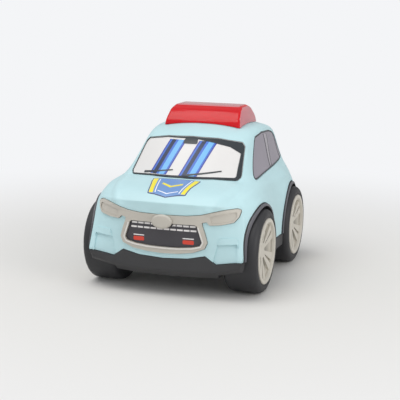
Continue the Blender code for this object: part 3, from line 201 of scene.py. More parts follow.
def half_cage():
    """Points and faces of the left half, as (x, distance behind the front axle, z), nose to tail."""
    wide, belt, roof = BODY_HALF_WIDTH, BELT_HALF_WIDTH, ROOF_HALF_WIDTH
    top, edge, shoulder = ROOF_HEIGHT, BELT_HEIGHT, SHOULDER_HEIGHT
    part, foot = PARTING_HEIGHT + 0.0007, TRAY_BOTTOM
    middle, rear = WHEELBASE / 2, WHEELBASE
    stations = [
        [(0, NOSE, edge - 0.0085), (0.0170, NOSE + 0.0005, edge - 0.0085),
         (0.0305, NOSE + 0.0030, edge - 0.0090), (0.0425, NOSE + 0.0120, edge - 0.0095),
         (wide - 0.0060, NOSE + 0.0095, shoulder - 0.0060),
         (wide - 0.0050, NOSE + 0.0012, part), (wide - 0.0068, NOSE + 0.0028, foot + CHIN_CORNER_RISE)],
        [(0, NOSE + 0.0060, edge - 0.0028), (0.0170, NOSE + 0.0062, edge - 0.0028),
         (0.0305, NOSE + 0.0090, edge - 0.0032), (0.0440, NOSE + 0.0190, edge - 0.0062),
         (wide - 0.0009, NOSE + 0.0180, shoulder - 0.0015),
         (wide - 0.0004, NOSE + 0.0150, part), (wide - 0.0016, NOSE + 0.0150, foot)],
        [(0, -0.0140, edge + 0.0002), (0.0175, -0.0140, edge),
         (0.0330, -0.0100, edge - 0.0008), (0.0460, -0.0020, edge - 0.0040),
         (wide + 0.0014, 0, shoulder), (wide + 0.0018, 0, part), (wide - 0.0001, 0, foot)],
        [(0, -0.0020, edge + 0.0022), (0.0180, -0.0010, edge + 0.0019),
         (0.0362, 0.0070, edge - 0.0002), (belt + 0.0022, 0.0120, edge - 0.0022),
         (wide + 0.0007, 0.0160, shoulder), (wide + 0.0009, 0.0175, part), (wide - 0.0005, 0.0175, foot)],
        [(0, 0.0180, top - 0.0072), (0.0165, 0.0196, top - 0.0080),
         (roof - 0.0022, 0.0272, top - 0.0100), (belt + 0.0004, 0.0300, edge - 0.0010),
         (WAIST - 0.0006, 0.0310, shoulder), (WAIST, 0.0330, part), (WAIST - 0.0005, 0.0330, foot)],
        [(0, middle - 0.0020, top - 0.0012), (0.0170, middle - 0.0020, top - 0.0018),
         (roof - 0.0008, middle, top - 0.0052), (belt, middle + 0.0050, edge),
         (WAIST - 0.0006, middle + 0.0070, shoulder + 0.0005),
         (WAIST, middle + 0.0070, part), (WAIST - 0.0005, middle + 0.0070, foot)],
        [(0, rear - 0.0170, top), (0.0175, rear - 0.0170, top - 0.0006),
         (roof, rear - 0.0175, top - 0.0042), (belt - 0.0004, rear - 0.0185, edge + 0.0012),
         (wide - 0.0004, rear - 0.0175, shoulder + 0.0020),
         (wide + 0.0003, rear - 0.0165, part), (wide - 0.0007, rear - 0.0165, foot)],
        [(0, rear + 0.0060, top - 0.0022), (0.0170, rear + 0.0060, top - 0.0028),
         (roof - 0.0008, rear + 0.0050, top - 0.0064), (belt - 0.0012, rear + 0.0020, edge + 0.0026),
         (wide + 0.0001, rear, shoulder + 0.0028), (wide + 0.0014, rear, part), (wide - 0.0005, rear, foot)],
        [(0, TAIL - 0.0090, top - 0.0062), (0.0165, TAIL - 0.0095, top - 0.0068),
         (roof - 0.0022, TAIL - 0.0110, top - 0.0100), (belt - 0.0026, TAIL - 0.0100, edge + 0.0022),
         (wide - 0.0036, TAIL - 0.0085, shoulder), (wide - 0.0012, TAIL - 0.0015, part),
         (wide - 0.0028, TAIL - 0.0026, foot)],
    ]
    nose_rows = [
        [(0, NOSE + back, z), (0.0175, NOSE + back + 0.0005, z), (0.0330, NOSE + back + 0.0018, z + rise)]
        for z, back, rise in ((shoulder - 0.0055, 0, 0), (part, 0.0002, 0),
                              (foot + CHIN_RISE, 0.0006, 0.0012))
    ]
    edge_y = NOSE + CHIN_SETBACK
    chin = [(0, edge_y, foot), (0.0170, edge_y + 0.0006, foot), (0.0310, edge_y + 0.0040, foot)]
    tail_rows = [
        [(0, TAIL - back, z), (x, TAIL - back - 0.0008, z)]
        for z, back, x in ((edge + 0.0040, 0.0050, 0.0200), (shoulder, 0.0018, 0.0240),
                           (part, -0.0004, 0.0290), (foot, 0.0004, 0.0290))
    ]
    points = []

    def number(row):
        points.extend((x, FRONT_Y + y, z) for x, y, z in row)
        return list(range(len(points) - len(row), len(points)))

    half = [number(row) for row in stations]
    front = [half[0][0:4]] + [number(row) + [half[0][4 + i]] for i, row in enumerate(nose_rows)]
    under = [front[-1], number(chin) + [half[1][6]]]
    back = [half[-1][0:3]] + [number(row) + [half[-1][3 + i]] for i, row in enumerate(tail_rows)]
    faces = [
        (upper[i], upper[i + 1], lower[i + 1], lower[i])
        for grid in (half, front, under, back)
        for upper, lower in zip(grid, grid[1:])
        for i in range(len(upper) - 1)
    ]
    foot_loop = under[-1] + [row[-1] for row in half[2:]] + back[-1][:-1][::-1]
    faces.append(tuple(foot_loop))
    creases = [
        (foot_loop, 1.0), (front[-1] + [half[1][6]], 0.70), (front[0], 0.30),
        ([row[3] for row in front[1:]], 0.60), (back[0], 0.55),
        (half[-1][4:7], 0.50), ([half[j][2] for j in range(4)], 0.55), (half[3][0:3], 0.60),
        (half[4][0:3], 0.25), ([half[j][2] for j in range(3, 9)], 0.35),
        ([half[j][3] for j in range(3, 9)], 0.30),
    ]
    return points, faces, creases


def settle(piece, *steps):
    """Makes the named modifiers part of the mesh."""
    bpy.ops.object.select_all(action="DESELECT")
    piece.select_set(True)
    bpy.context.view_layer.objects.active = piece
    for step in steps:
        bpy.ops.object.modifier_apply(modifier=step)


def car_form(name, level, offset=0.0):
    """The closed form at a level of fineness, moved out along its normals."""
    points, faces, creases = half_cage()
    mesh = bpy.data.meshes.new(name)
    mesh.from_pydata(points, [], faces)
    weights = mesh.attributes.new("crease_edge", "FLOAT", "EDGE")
    between = {tuple(sorted(edge.vertices)): edge.index for edge in mesh.edges}
    for chain, weight in creases:
        for pair in zip(chain, chain[1:]):
            weights.data[between[tuple(sorted(pair))]].value = weight
    form = bpy.data.objects.new(name, mesh)
    bpy.context.scene.collection.objects.link(form)
    other_half = form.modifiers.new("other_half", "MIRROR")
    other_half.merge_threshold = 0.00001
    smooth = form.modifiers.new("smooth", "SUBSURF")
    smooth.levels = smooth.render_levels = level
    settle(form, "other_half", "smooth")
    bpy.ops.object.mode_set(mode="EDIT")
    bpy.ops.mesh.select_all(action="SELECT")
    bpy.ops.mesh.normals_make_consistent(inside=False)
    bpy.ops.object.mode_set(mode="OBJECT")
    if offset:
        moves = [vert.normal * offset for vert in form.data.vertices]
        for vert, move in zip(form.data.vertices, moves):
            vert.co += move
    return form


def slab(name, outline, axis, low, high):
    """An outline drawn on a plane and extruded along X, Y or Z. Its points are the two other coordinates."""
    order = "XYZ".index(axis)
    way = Vector([high - low if axis == letter else 0 for letter in "XYZ"])
    bpy.ops.object.select_all(action="DESELECT")
    bpy.ops.mesh.primitive_circle_add(vertices=len(outline), fill_type="NGON")
    piece = bpy.context.object
    piece.name = name
    for vert, point in zip(piece.data.vertices, outline):
        vert.co = (*point[:order], low, *point[order:])
    bpy.ops.object.mode_set(mode="EDIT")
    bpy.ops.mesh.select_all(action="SELECT")
    bpy.ops.mesh.extrude_region_move(TRANSFORM_OT_translate={"value": way})
    bpy.ops.mesh.select_all(action="SELECT")
    bpy.ops.mesh.normals_make_consistent(inside=False)
    bpy.ops.object.mode_set(mode="OBJECT")
    return piece


def work(piece, tool, operation, keep_tool=False):
    """Cuts, joins or trims a piece with a tool, which is then thrown away."""
    step = piece.modifiers.new("work", "BOOLEAN")
    step.operation = operation
    step.solver = "MANIFOLD"
    step.object = tool
    settle(piece, "work")
    if not keep_tool:
        bpy.data.objects.remove(tool)
    return piece


def mirrored(outline):
    """A left half after a right half, for an outline that starts and ends on the centre line."""
    return outline + [(-a, b) for a, b in reversed(outline) if a > 1e-9]


def moved(outline, distance):
    """Every side of an outline moved outwards by the distance."""
    area = sum(a[0] * b[1] - b[0] * a[1] for a, b in zip(outline, outline[1:] + outline[:1]))
    sign = 1 if area > 0 else -1
    result = []
    for i, point in enumerate(outline):
        first = Vector(point) - Vector(outline[i - 1])
        second = Vector(outline[(i + 1) % len(outline)]) - Vector(point)
        n1 = Vector((first.y, -first.x)).normalized() * sign
        n2 = Vector((second.y, -second.x)).normalized() * sign
        result.append(tuple(Vector(point) + (n1 + n2) * (distance / (1 + n1.dot(n2)))))
    return result


def rounded(outline, radius, steps=4):
    """The same outline with each corner turned into a short arc."""
    result = []
    for i, point in enumerate(outline):
        here = Vector(point)
        back = Vector(outline[i - 1]) - here
        ahead = Vector(outline[(i + 1) % len(outline)]) - here
        angle = back.angle(ahead)
        reach = min(radius / math.tan(angle / 2), back.length * 0.45, ahead.length * 0.45)
        if reach < 0.00005:
            result.append(tuple(here))
            continue
        start, end = here + back.normalized() * reach, here + ahead.normalized() * reach
        for step in range(steps + 1):
            t = step / steps
            result.append(tuple(start * (1 - t) ** 2 + here * 2 * t * (1 - t) + end * t * t))
    return result


kept_forms = {}


def form_at(offset):
    """The fine form at an offset, built once and kept as a tool until the script ends."""
    depth = round(offset, 6)
    if depth not in kept_forms:
        kept_forms[depth] = car_form("form", FINE, depth)
    return kept_forms[depth]


def joined(parts):
    """Several meshes as one object."""
    bpy.ops.object.select_all(action="DESELECT")
    for part in parts:
        part.select_set(True)
    bpy.context.view_layer.objects.active = parts[0]
    bpy.ops.object.join()
    return parts[0]


def inlay(name, outlines, axis, low, high, outer, inner):
    """A piece that follows the form between two depths, inside one outline or several."""
    piece = joined([slab(name, outline, axis, low, high) for outline in outlines])
    work(piece, form_at(outer), "INTERSECT", keep_tool=True)
    return work(piece, form_at(inner), "DIFFERENCE", keep_tool=True)


def paint(piece, finish):
    """One material all over."""
    piece.data.materials.clear()
    piece.data.materials.append(finish)


def soften_edges(piece, width, segments=2, angle=40):
    """Rounds the sharp edges of a moulding."""
    round_off = piece.modifiers.new("round_off", "BEVEL")
    round_off.width = width
    round_off.segments = segments
    round_off.limit_method = "ANGLE"
    round_off.angle_limit = math.radians(angle)
    round_off.use_clamp_overlap = True
    settle(piece, "round_off")


def keep_crisp(piece, angle):
    """Smooth shading that leaves edges over an angle sharp."""
    settle(piece)
    bpy.ops.object.shade_smooth_by_angle(angle=math.radians(angle))


def hand_in(piece, finish, node=None):
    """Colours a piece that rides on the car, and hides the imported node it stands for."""
    paint(piece, finish)
    if node:
        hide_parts(node)
    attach(piece, "car_body")
    return piece


def fitted(name, outlines, span, outer, inner, finish, slot=None, node=None, room=None):
    """An inlay cut clear of a room, shaded along the form and handed in."""
    piece = inlay(name, outlines, *span, outer, inner)
    if room:
        work(piece, room, "DIFFERENCE")
    shade_along_form(piece)
    return hand_in(piece, finish, node)


def printed(name, outlines, axis, low, high, depth, ink):
    """A layer of ink or film at a depth from the form."""
    return fitted(name, outlines, (axis, low, high), depth, depth - 0.0002, ink)


def stroke(start, end, width, end_width=None):
    """A straight bar between two points as an outline."""
    start, end = Vector(start), Vector(end)
    along = (end - start).normalized()
    side = Vector((-along.y, along.x))
    first, last = side * (width / 2), side * ((end_width or width) / 2)
    return [tuple(start - first), tuple(end - last), tuple(end + last), tuple(start + first)]


def raise_line(form, path, height, width):
    """A soft ridge along a path over the form, mirrored to both sides."""
    route = [Vector((x, FRONT_Y + y, z)) for x, y, z in path]
    for vert in form.data.vertices:
        place = Vector((abs(vert.co.x), vert.co.y, vert.co.z))
        gap = width
        for start, end in zip(route, route[1:]):
            run = end - start
            share = min(1, max(0, (place - start).dot(run) / run.length_squared))
            gap = min(gap, (place - start - run * share).length)
        near = 1 - gap / width
        if near > 0:
            vert.co += vert.normal * height * near * near * (3 - 2 * near)


CREASE_HEIGHT = 0.0007


def add_creases(form):
    """Pressed lines: one down each side of the hood and one along each shoulder."""
    hood = [(0.0350, 0.0000, 0.0634), (0.0352, -0.0070, 0.0622), (0.0332, -0.0200, 0.0590),
            (0.0305, -0.0262, 0.0552), (0.0270, -0.0290, 0.0520)]
    flank = [(0.0418, -0.0131, 0.0576), (0.0432, -0.0034, 0.0595), (0.0443, 0.0060, 0.0597),
             (0.0444, 0.0297, 0.0580), (0.0449, 0.0532, 0.0578), (0.0455, 0.0700, 0.0590)]
    raise_line(form, hood, CREASE_HEIGHT, 0.0038)
    raise_line(form, flank, CREASE_HEIGHT, 0.0050)
    return form


surface = add_creases(car_form("surface", FINE))
surface_tree = BVHTree.FromPolygons([v.co for v in surface.data.vertices],
                                    [p.vertices for p in surface.data.polygons])


def form_normal(point):
    """The form's smooth normal nearest to a point."""
    place, _, index, _ = surface_tree.find_nearest(point)
    corners = [surface.data.vertices[i] for i in surface.data.polygons[index].vertices]
    shares = poly_3d_calc([c.co for c in corners], place)
    return sum((c.normal * share for c, share in zip(corners, shares)), Vector()).normalized()


def shade_along_form(piece):
    """Gives the faces that lie along the form its own smooth normals, and leaves cut edges crisp."""
    mesh = piece.data
    mesh.shade_smooth()
    nearest = [form_normal(vert.co) for vert in mesh.vertices]
    normals = [None] * len(mesh.loops)
    for face in mesh.polygons:
        lean = face.normal.dot(nearest[face.vertices[0]])
        for loop, vert in zip(face.loop_indices, face.vertices):
            if abs(lean) > 0.8:
                normals[loop] = nearest[vert] * (1 if lean > 0 else -1)
            else:
                normals[loop] = face.normal
    mesh.normals_split_custom_set(normals)


# The shell is injection-moulded ABS in one shot: hood, sides, roof and tailgate, open below.
# It drops over the tray, and its lower edge steps up and down along the bumpers.

SHELL_WALL = 0.0036
CLEARANCE = 0.0003
ARCH_HALF_LENGTH = 0.0275
ARCH_RISE = 0.0283
WELL_INNER_X = 0.0304
INLAY_SUNK = 0.0003
INLAY_THICKNESS = 0.0016
FOG_DEPTH = 0.0007


def moulded_plastic(name, colour, roughness, drift=0.03, grain=0.10, gloss=0.5):
    """ABS as it leaves the tool: fine grain, a faint drift of colour and uneven gloss."""
    made, tree, shader = new_finish(name)
    shader.inputs["Specular IOR Level"].default_value = gloss
    place = add_node(tree, "TexCoord")
    cloud = add_node(tree, "TexNoise", Scale=38.0, Detail=3.0, Roughness=0.55)
    wire(tree, place, "Object", cloud, "Vector")
    tone = add_node(tree, "ValToRGB")
    base = linear(colour)
    for stop, shift in zip(tone.color_ramp.elements, (1 - drift, 1 + drift)):
        stop.color = (*[min(1, c * shift) for c in base[:3]], 1)
    tone.color_ramp.elements[0].position = 0.3
    tone.color_ramp.elements[1].position = 0.7
    wire(tree, cloud, "Fac", tone, "Fac")
    wire(tree, tone, "Color", shader, "Base Color")
    wear = add_node(tree, "TexNoise", Scale=110.0, Detail=4.0, Roughness=0.6)
    wire(tree, place, "Object", wear, "Vector")
    shine = add_node(tree, "MapRange", To_Min=roughness - 0.05, To_Max=roughness + 0.07)
    wire(tree, wear, "Fac", shine, "Value")
    wire(tree, shine, "Result", shader, "Roughness")
    skin = add_node(tree, "TexNoise", Scale=2600.0, Detail=2.0)
    wire(tree, place, "Object", skin, "Vector")
    relief = add_node(tree, "Bump", Strength=grain, Distance=0.00006)
    wire(tree, skin, "Fac", relief, "Height")
    wire(tree, relief, "Normal", shader, "Normal")
    return made


def windscreen_outline():
    low, high = BELT_HEIGHT, ROOF_HEIGHT - 0.0085
    return mirrored([(0, low + 0.0016), (0.0200, low + 0.0014), (0.0330, low + 0.0004),
                     (0.0345, low + 0.0022), (0.0317, high - 0.0045), (0.0298, high - 0.0022),
                     (0.0160, high), (0, high + 0.0006)])


def side_window_outline():
    low, high = BELT_HEIGHT, ROOF_HEIGHT - 0.0082
    front, rear = FRONT_Y + 0.0142, REAR_Y + 0.0128
    return [(front, low - 0.0006), (front + 0.0225, high - 0.0030), (front + 0.0262, high - 0.0006),
            (front + 0.0400, high + 0.0008), (rear - 0.0180, high - 0.0002), (rear - 0.0085, high - 0.0022),
            (rear - 0.0045, high - 0.0050), (rear, low + 0.0042), (rear - 0.0120, low + 0.0030)]


def tailgate_window_outline():
    low, high = BELT_HEIGHT + 0.0062, ROOF_HEIGHT - 0.0110
    return mirrored([(0, low), (0.0250, low), (0.0268, low + 0.0016), (0.0245, high - 0.0022),
                     (0.0225, high - 0.0006), (0, high)])


def tail_lamp_outline(sign):
    low, high = SHOULDER_HEIGHT - 0.0045, SHOULDER_HEIGHT + 0.0075
    points = [(0.0302, low), (0.0285, high - 0.0040), (0.0315, high),
              (0.0405, high), (0.0428, high - 0.0030), (0.0436, low)]
    return [(sign * x, z) for x, z in points]


BADGE_HEIGHT = 0.0440


def trim_outline():
    bar, rim = BADGE_HEIGHT + 0.0046, BADGE_HEIGHT - 0.0175
    return mirrored([(0, bar), (0.0140, bar + 0.0003), (0.0220, bar + 0.0012), (0.0285, bar + 0.0030),
                     (0.0350, bar + 0.0043), (0.0410, bar + 0.0048), (0.0432, bar + 0.0040),
                     (0.0424, bar + 0.0004), (0.0402, bar - 0.0024), (0.0336, bar - 0.0037),
                     (0.0274, bar - 0.0041), (0.0258, bar - 0.0022), (0.0226, bar - 0.0030),
                     (0.0246, rim + 0.0136), (0.0262, rim + 0.0078), (0.0246, rim + 0.0042),
                     (0.0180, rim + 0.0016), (0.0090, rim + 0.0004), (0, rim)])


def fog_outline(sign):
    low, high = PARTING_HEIGHT - 0.0057, PARTING_HEIGHT + 0.0098
    points = [(0.0283, low), (0.0320, high - 0.0007), (0.0429, high + 0.0002), (0.0440, low)]
    return [(sign * x, z) for x, z in points]


def ledge_outline(sign):
    low, high = PARTING_HEIGHT + 0.0098, PARTING_HEIGHT + 0.0130
    points = [(0.0322, low - 0.0007), (0.0334, high), (0.0428, high + 0.0002),
              (0.0440, low - 0.0020), (0.0429, low)]
    return [(sign * x, z) for x, z in points]


def bumper_line(gap):
    """The stepped edge of a bumper, from one side to the other."""
    z = PARTING_HEIGHT - gap
    half = [(0, z - 0.0008), (0.0150, z), (0.0249, z + 0.0022), (0.0312, z - 0.0023),
            (0.0452, z), (0.0700, z)]
    return [(-a, b) for a, b in reversed(half) if a > 0] + half


def parting_block(label, gap, level):
    """The space between the parting line and a level, from nose to tail."""
    z = PARTING_HEIGHT - gap
    front = slab(label, bumper_line(gap) + [(0.07, level), (-0.07, level)], "Y", NOSE_Y - 0.01, FRONT_Y)
    middle = slab(label, [(-0.07, z), (0.07, z), (0.07, level), (-0.07, level)], "Y",
                  FRONT_Y - 0.001, REAR_Y + 0.001)
    rear = slab(label, bumper_line(gap) + [(0.07, level), (-0.07, level)], "Y", REAR_Y, TAIL_Y + 0.01)
    return work(work(front, middle, "UNION"), rear, "UNION")


def wheel_bay(axle_y, sign, growth, inner_x, bottom, outer_x):
    long, rise = ARCH_HALF_LENGTH + growth, ARCH_RISE + growth
    turns = [math.pi * i / 40 for i in range(41)]
    arch = [(axle_y + long * math.cos(a), AXLE_HEIGHT + rise * math.sin(a)) for a in turns]
    legs = [(axle_y - long, bottom), (axle_y + long, bottom)]
    low, high = sorted((sign * inner_x, sign * outer_x))
    return slab("bay", arch + legs, "X", low, high)


CORNERS = [(axle_y, sign) for axle_y in (FRONT_Y, REAR_Y) for sign in (1, -1)]
POCKET = INLAY_SUNK + INLAY_THICKNESS + CLEARANCE
REACH = 0.001

shell = add_creases(car_form("moulded_shell", FINE))
work(shell, car_form("core", 2, -SHELL_WALL), "DIFFERENCE")
work(shell, parting_block("below", 0, -0.01), "DIFFERENCE")
for axle_y, sign in CORNERS:
    work(shell, wheel_bay(axle_y, sign, CLEARANCE, WELL_INNER_X - CLEARANCE, 0, 0.07), "DIFFERENCE")
pockets = [
    (windscreen_outline(), "Y", FRONT_Y - 0.012, FRONT_Y + 0.028, POCKET),
    (side_window_outline(), "X", 0.020, 0.060, POCKET),
    (side_window_outline(), "X", -0.060, -0.020, POCKET),
    (tailgate_window_outline(), "Y", TAIL_Y - 0.025, TAIL_Y + 0.010, POCKET),
    (trim_outline(), "Y", NOSE_Y - 0.010, FRONT_Y - 0.008, 0.0018 + CLEARANCE),
    (tail_lamp_outline(1), "Y", TAIL_Y - 0.0131, TAIL_Y + 0.010, POCKET),
    (tail_lamp_outline(-1), "Y", TAIL_Y - 0.0131, TAIL_Y + 0.010, POCKET),
]
for outline, axis, low, high, depth in pockets:
    edge = moved(rounded(outline, 0.0015), CLEARANCE)
    work(shell, inlay("pocket", [edge], axis, low, high, REACH, -depth), "DIFFERENCE")
nose_reach = ("Y", NOSE_Y - 0.010, FRONT_Y - 0.020)
for sign in (1, -1):
    ledge = inlay("ledge", [ledge_outline(sign)], *nose_reach, 0.0005, -0.0010)
    work(shell, ledge, "UNION")
    recess = inlay("pocket", [fog_outline(sign)], *nose_reach, REACH, -FOG_DEPTH)
    work(shell, recess, "DIFFERENCE")
shade_along_form(shell)
hand_in(shell, moulded_plastic("light_blue_abs", "#BADBE0", 0.42), "body_shell")


# The tray is charcoal ABS: bumpers, sills and the four wheel wells, whose rims show in the arches.
# Screws hold it under the shell.

SKIN_PROUD = 0.0004
WELL_WALL = 0.0011
FLOOR_TOP = TRAY_BOTTOM + 0.0024
SILL_LIFT = 0.0047
SILL_RISER_X = 0.0340
SILL_INNER_X = SILL_RISER_X - 0.0020
OVERLAP = 0.0010
AXLE_WAY = 0.0021
FAR = 0.07


def round_outline(centre, wide, high, steps=32):
    """A circle or an oval as an outline, from its half sizes."""
    turns = [2 * math.pi * i / steps for i in range(steps)]
    return [(centre[0] + wide * math.cos(a), centre[1] + high * math.sin(a)) for a in turns]


def beside(name, sign, near, far, start, end, low, high):
    """A block on one side of the car."""
    low_x, high_x = sorted((sign * near, sign * far))
    return block(name, (low_x, start, low), (high_x, end, high))


def block(name, low, high):
    outline = [(low[0], low[1]), (high[0], low[1]), (high[0], high[1]), (low[0], high[1])]
    return slab(name, outline, "Z", low[2], high[2])


tray = block("tray", (-0.058, NOSE_Y - 0.005, TRAY_BOTTOM), (0.058, TAIL_Y + 0.005, PARTING_HEIGHT + 0.006))
work(tray, parting_block("above", CLEARANCE, 0.06), "DIFFERENCE")
cavity = block("cavity", (-0.060, NOSE_Y - 0.006, FLOOR_TOP), (0.060, TAIL_Y + 0.006, 0.060))
work(cavity, car_form("cavity_side", 3, -0.0022), "INTERSECT")
work(tray, cavity, "DIFFERENCE")
for axle_y, sign in CORNERS:
    work(tray, wheel_bay(axle_y, sign, -CLEARANCE, WELL_INNER_X, TRAY_BOTTOM + 0.001, 0.0575), "UNION")
work(tray, car_form("outside", FINE, SKIN_PROUD), "INTERSECT")
for axle_y, sign in CORNERS:
    bay = wheel_bay(axle_y, sign, -CLEARANCE - WELL_WALL, WELL_INNER_X + WELL_WALL, -0.01, FAR)
    work(tray, bay, "DIFFERENCE")
for axle_y in (FRONT_Y, REAR_Y):
    ring = round_outline((axle_y, AXLE_HEIGHT), AXLE_WAY, AXLE_WAY)
    work(tray, slab("axle_way", ring, "X", -FAR, FAR), "DIFFERENCE")
step = TRAY_BOTTOM + SILL_LIFT
start = FRONT_Y + ARCH_HALF_LENGTH - CLEARANCE - WELL_WALL / 2
end = REAR_Y - ARCH_HALF_LENGTH + CLEARANCE + WELL_WALL / 2
for sign in (1, -1):
    under = beside("under", sign, SILL_RISER_X, FAR, start - WELL_WALL, end + WELL_WALL, 0, step)
    work(tray, under, "DIFFERENCE")
    ledge = beside("ledge", sign, SILL_INNER_X, FAR, start, end, step, step + 0.0024)
    work(tray, work(ledge, form_at(0.0), "INTERSECT", keep_tool=True), "UNION")
    riser = beside("riser", sign, SILL_INNER_X, SILL_RISER_X, start, end,
                   TRAY_BOTTOM + OVERLAP, step + OVERLAP)
    work(tray, riser, "UNION")
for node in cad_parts:
    if node.startswith(("chassis_screw", "motor_screw")):
        near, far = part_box(node)
        centre = ((near.x + far.x) / 2, (near.y + far.y) / 2)
        head = (far.x - near.x) / 2
        for radius, top in ((head * 0.62, FLOOR_TOP + OVERLAP), (head + CLEARANCE, TRAY_BOTTOM + 0.0016)):
            bore = slab("bore", round_outline(centre, radius, radius), "Z", 0, top)
            work(tray, bore, "DIFFERENCE")
shade_along_form(tray)
charcoal = moulded_plastic("charcoal_abs", "#353537", 0.50)
hand_in(tray, charcoal, "chassis")

# Rounded lips of the four wheel wells, a little paler than the tray
lips = []
for axle_y, sign in CORNERS:
    lip = wheel_bay(axle_y, sign, -0.0003, 0.0400, PARTING_HEIGHT, 0.0600)
    work(lip, wheel_bay(axle_y, sign, -0.0017, 0.0300, 0, 0.0700), "DIFFERENCE")
    work(lip, form_at(0.0009), "INTERSECT", keep_tool=True)
    lips.append(work(lip, form_at(0.0002), "DIFFERENCE", keep_tool=True))
lip = joined(lips)
lip.name = "arch_lips"
soften_edges(lip, 0.0003)
shade_along_form(lip)
hand_in(lip, moulded_plastic("grey_abs", "#5E5D63", 0.45))


# Window inlays are opaque ABS, clipped into pockets in the shell a little below its surface.

window = (-INLAY_SUNK, -INLAY_SUNK - INLAY_THICKNESS)
screen_span = ("Y", FRONT_Y - 0.0117, FRONT_Y + 0.0277)
# White ABS, glossy print base
white = moulded_plastic("printed_white_abs", "#DEDCDA", 0.42, drift=0.01)
fitted("windscreen_inlay", [rounded(windscreen_outline(), 0.0015)], screen_span, *window,
       white, "screen", "windscreen")

# Screen inks over the white: slanted glints of sky, then a charcoal edge with a shade, wipers and mirror
foot, brow = BELT_HEIGHT + 0.0024, ROOF_HEIGHT - 0.0100
lean = math.tan(math.radians(20))


def glint(centre, width):
    """A slanted band across the screen."""
    low_x, high_x = (centre + (z - 0.0750) * lean for z in (foot, brow))
    return [(low_x - width / 2, foot), (low_x + width / 2, foot),
            (high_x + width / 2, brow), (high_x - width / 2, brow)]


# name, first band's centre, width, depth, ink and its colour
glints = [
    ("glint_edges", -0.0120, 0.0112, -0.00025, "violet_ink", "#3B3A96"),
    ("glint_bands", -0.0120, 0.0098, -0.00020, "blue_ink", "#3F6CC8"),
    ("glint_lights", -0.0098, 0.0034, -0.00015, "sky_blue_ink", "#6FB4E8"),
    ("glint_shades", -0.0144, 0.0026, -0.00015, "navy_ink", "#1B2A4A"),
]
GLINT_PITCH = 0.0192
for name, centre, width, depth, ink, colour in glints:
    bands = [glint(centre, width), glint(centre + GLINT_PITCH, width)]
    printed(name, bands, *screen_span, depth, moulded_plastic(ink, colour, 0.35, drift=0.02))

charcoal_ink = moulded_plastic("charcoal_ink", "#2C3236", 0.30, drift=0.02)
frame_print = printed("windscreen_edge", [rounded(moved(windscreen_outline(), -0.0001), 0.0015)],
                      *screen_span, -0.00010, charcoal_ink)
low, high = BELT_HEIGHT, ROOF_HEIGHT - 0.0085
field = [(-0.0330, low + 0.0010), (-0.0200, low + 0.0020), (0, low + 0.0024), (0.0200, low + 0.0023),
         (0.0318, low + 0.0018), (0.0314, low + 0.0060), (0.0308, high - 0.0080), (0.0240, high - 0.0044),
         (0.0150, high - 0.0024), (0.0080, high - 0.0012), (0.0020, high - 0.0004), (-0.0160, high - 0.0006),
         (-0.0294, high - 0.0026), (-0.0311, high - 0.0050), (-0.0339, low + 0.0026)]
opening = slab("field", rounded(field, 0.0012), "Y", FRONT_Y - 0.0300, FRONT_Y + 0.0400)
work(frame_print, opening, "DIFFERENCE")
shade_along_form(frame_print)
mirror = [(-0.0046, high - 0.0032), (0.0046, high - 0.0032),
          (0.0040, high - 0.0004), (-0.0040, high - 0.0004)]
small_prints = [stroke((-0.0250, low + 0.0026), (-0.0060, low + 0.0052), 0.0010, 0.0006),
                stroke((0.0030, low + 0.0028), (0.0230, low + 0.0054), 0.0010, 0.0006),
                rounded(mirror, 0.0008)]
printed("wipers_and_mirror", small_prints, *screen_span, -0.00008, charcoal_ink)

smoke = moulded_plastic("smoke_grey_abs", "#938E98", 0.32)
inlays = [
    ("side_inlay_left", "side_window_left", side_window_outline(), "X", 0.0203, 0.060),
    ("side_inlay_right", "side_window_right", side_window_outline(), "X", -0.060, -0.0203),
    ("tailgate_inlay", "tailgate_window", tailgate_window_outline(), "Y", TAIL_Y - 0.0247, TAIL_Y + 0.010),
]
for name, node, outline, axis, low, high in inlays:
    fitted(name, [rounded(outline, 0.0015)], (axis, low, high), *window, smoke, "glass", node)

# Printed door pillar and seal lines on both sides
pillar_ink = moulded_plastic("pale_grey_ink", "#A9A5AC", 0.35, drift=0.02)


def behind(*points):
    """Points given by their distance behind the front axle."""
    return [(FRONT_Y + y, z) for y, z in points]


pillar = behind((0.0570, 0.0858), (0.0530, 0.0668), (0.0566, 0.0672), (0.0634, 0.0856))
seals = [stroke(*behind((0.0569, 0.0860), (0.0528, 0.0664)), 0.0007),
         stroke(*behind((0.0636, 0.0858), (0.0566, 0.0668)), 0.0007),
         stroke(*behind((0.0831, 0.0838), (0.0829, 0.0682)), 0.0006)]
rim_outline = rounded(moved(side_window_outline(), -0.0001), 0.0015)
pane_outline = rounded(moved(side_window_outline(), -0.0007), 0.0012)
for side, reach in (("left", (0.0203, 0.060)), ("right", (-0.060, -0.0203))):
    printed(f"pillar_{side}", [pillar], "X", *reach, -INLAY_SUNK + 0.00006, pillar_ink)
    edge = printed(f"window_edge_{side}", [rim_outline], "X", *reach, -INLAY_SUNK + 0.00010, charcoal_ink)
    work(edge, slab("pane", pane_outline, "X", *reach), "DIFFERENCE")
    shade_along_form(edge)
    printed(f"seals_{side}", seals, "X", *reach, -INLAY_SUNK + 0.00012, charcoal_ink)


# The hood sticker is a printed film: a blue field with a dark outline, yellow bars at the sides
# and a pale pinstripe in the middle.

sticker_span = ("Z", 0.050, 0.075)


def on_hood(*points):
    return [(x, FRONT_Y + y) for x, y in points]


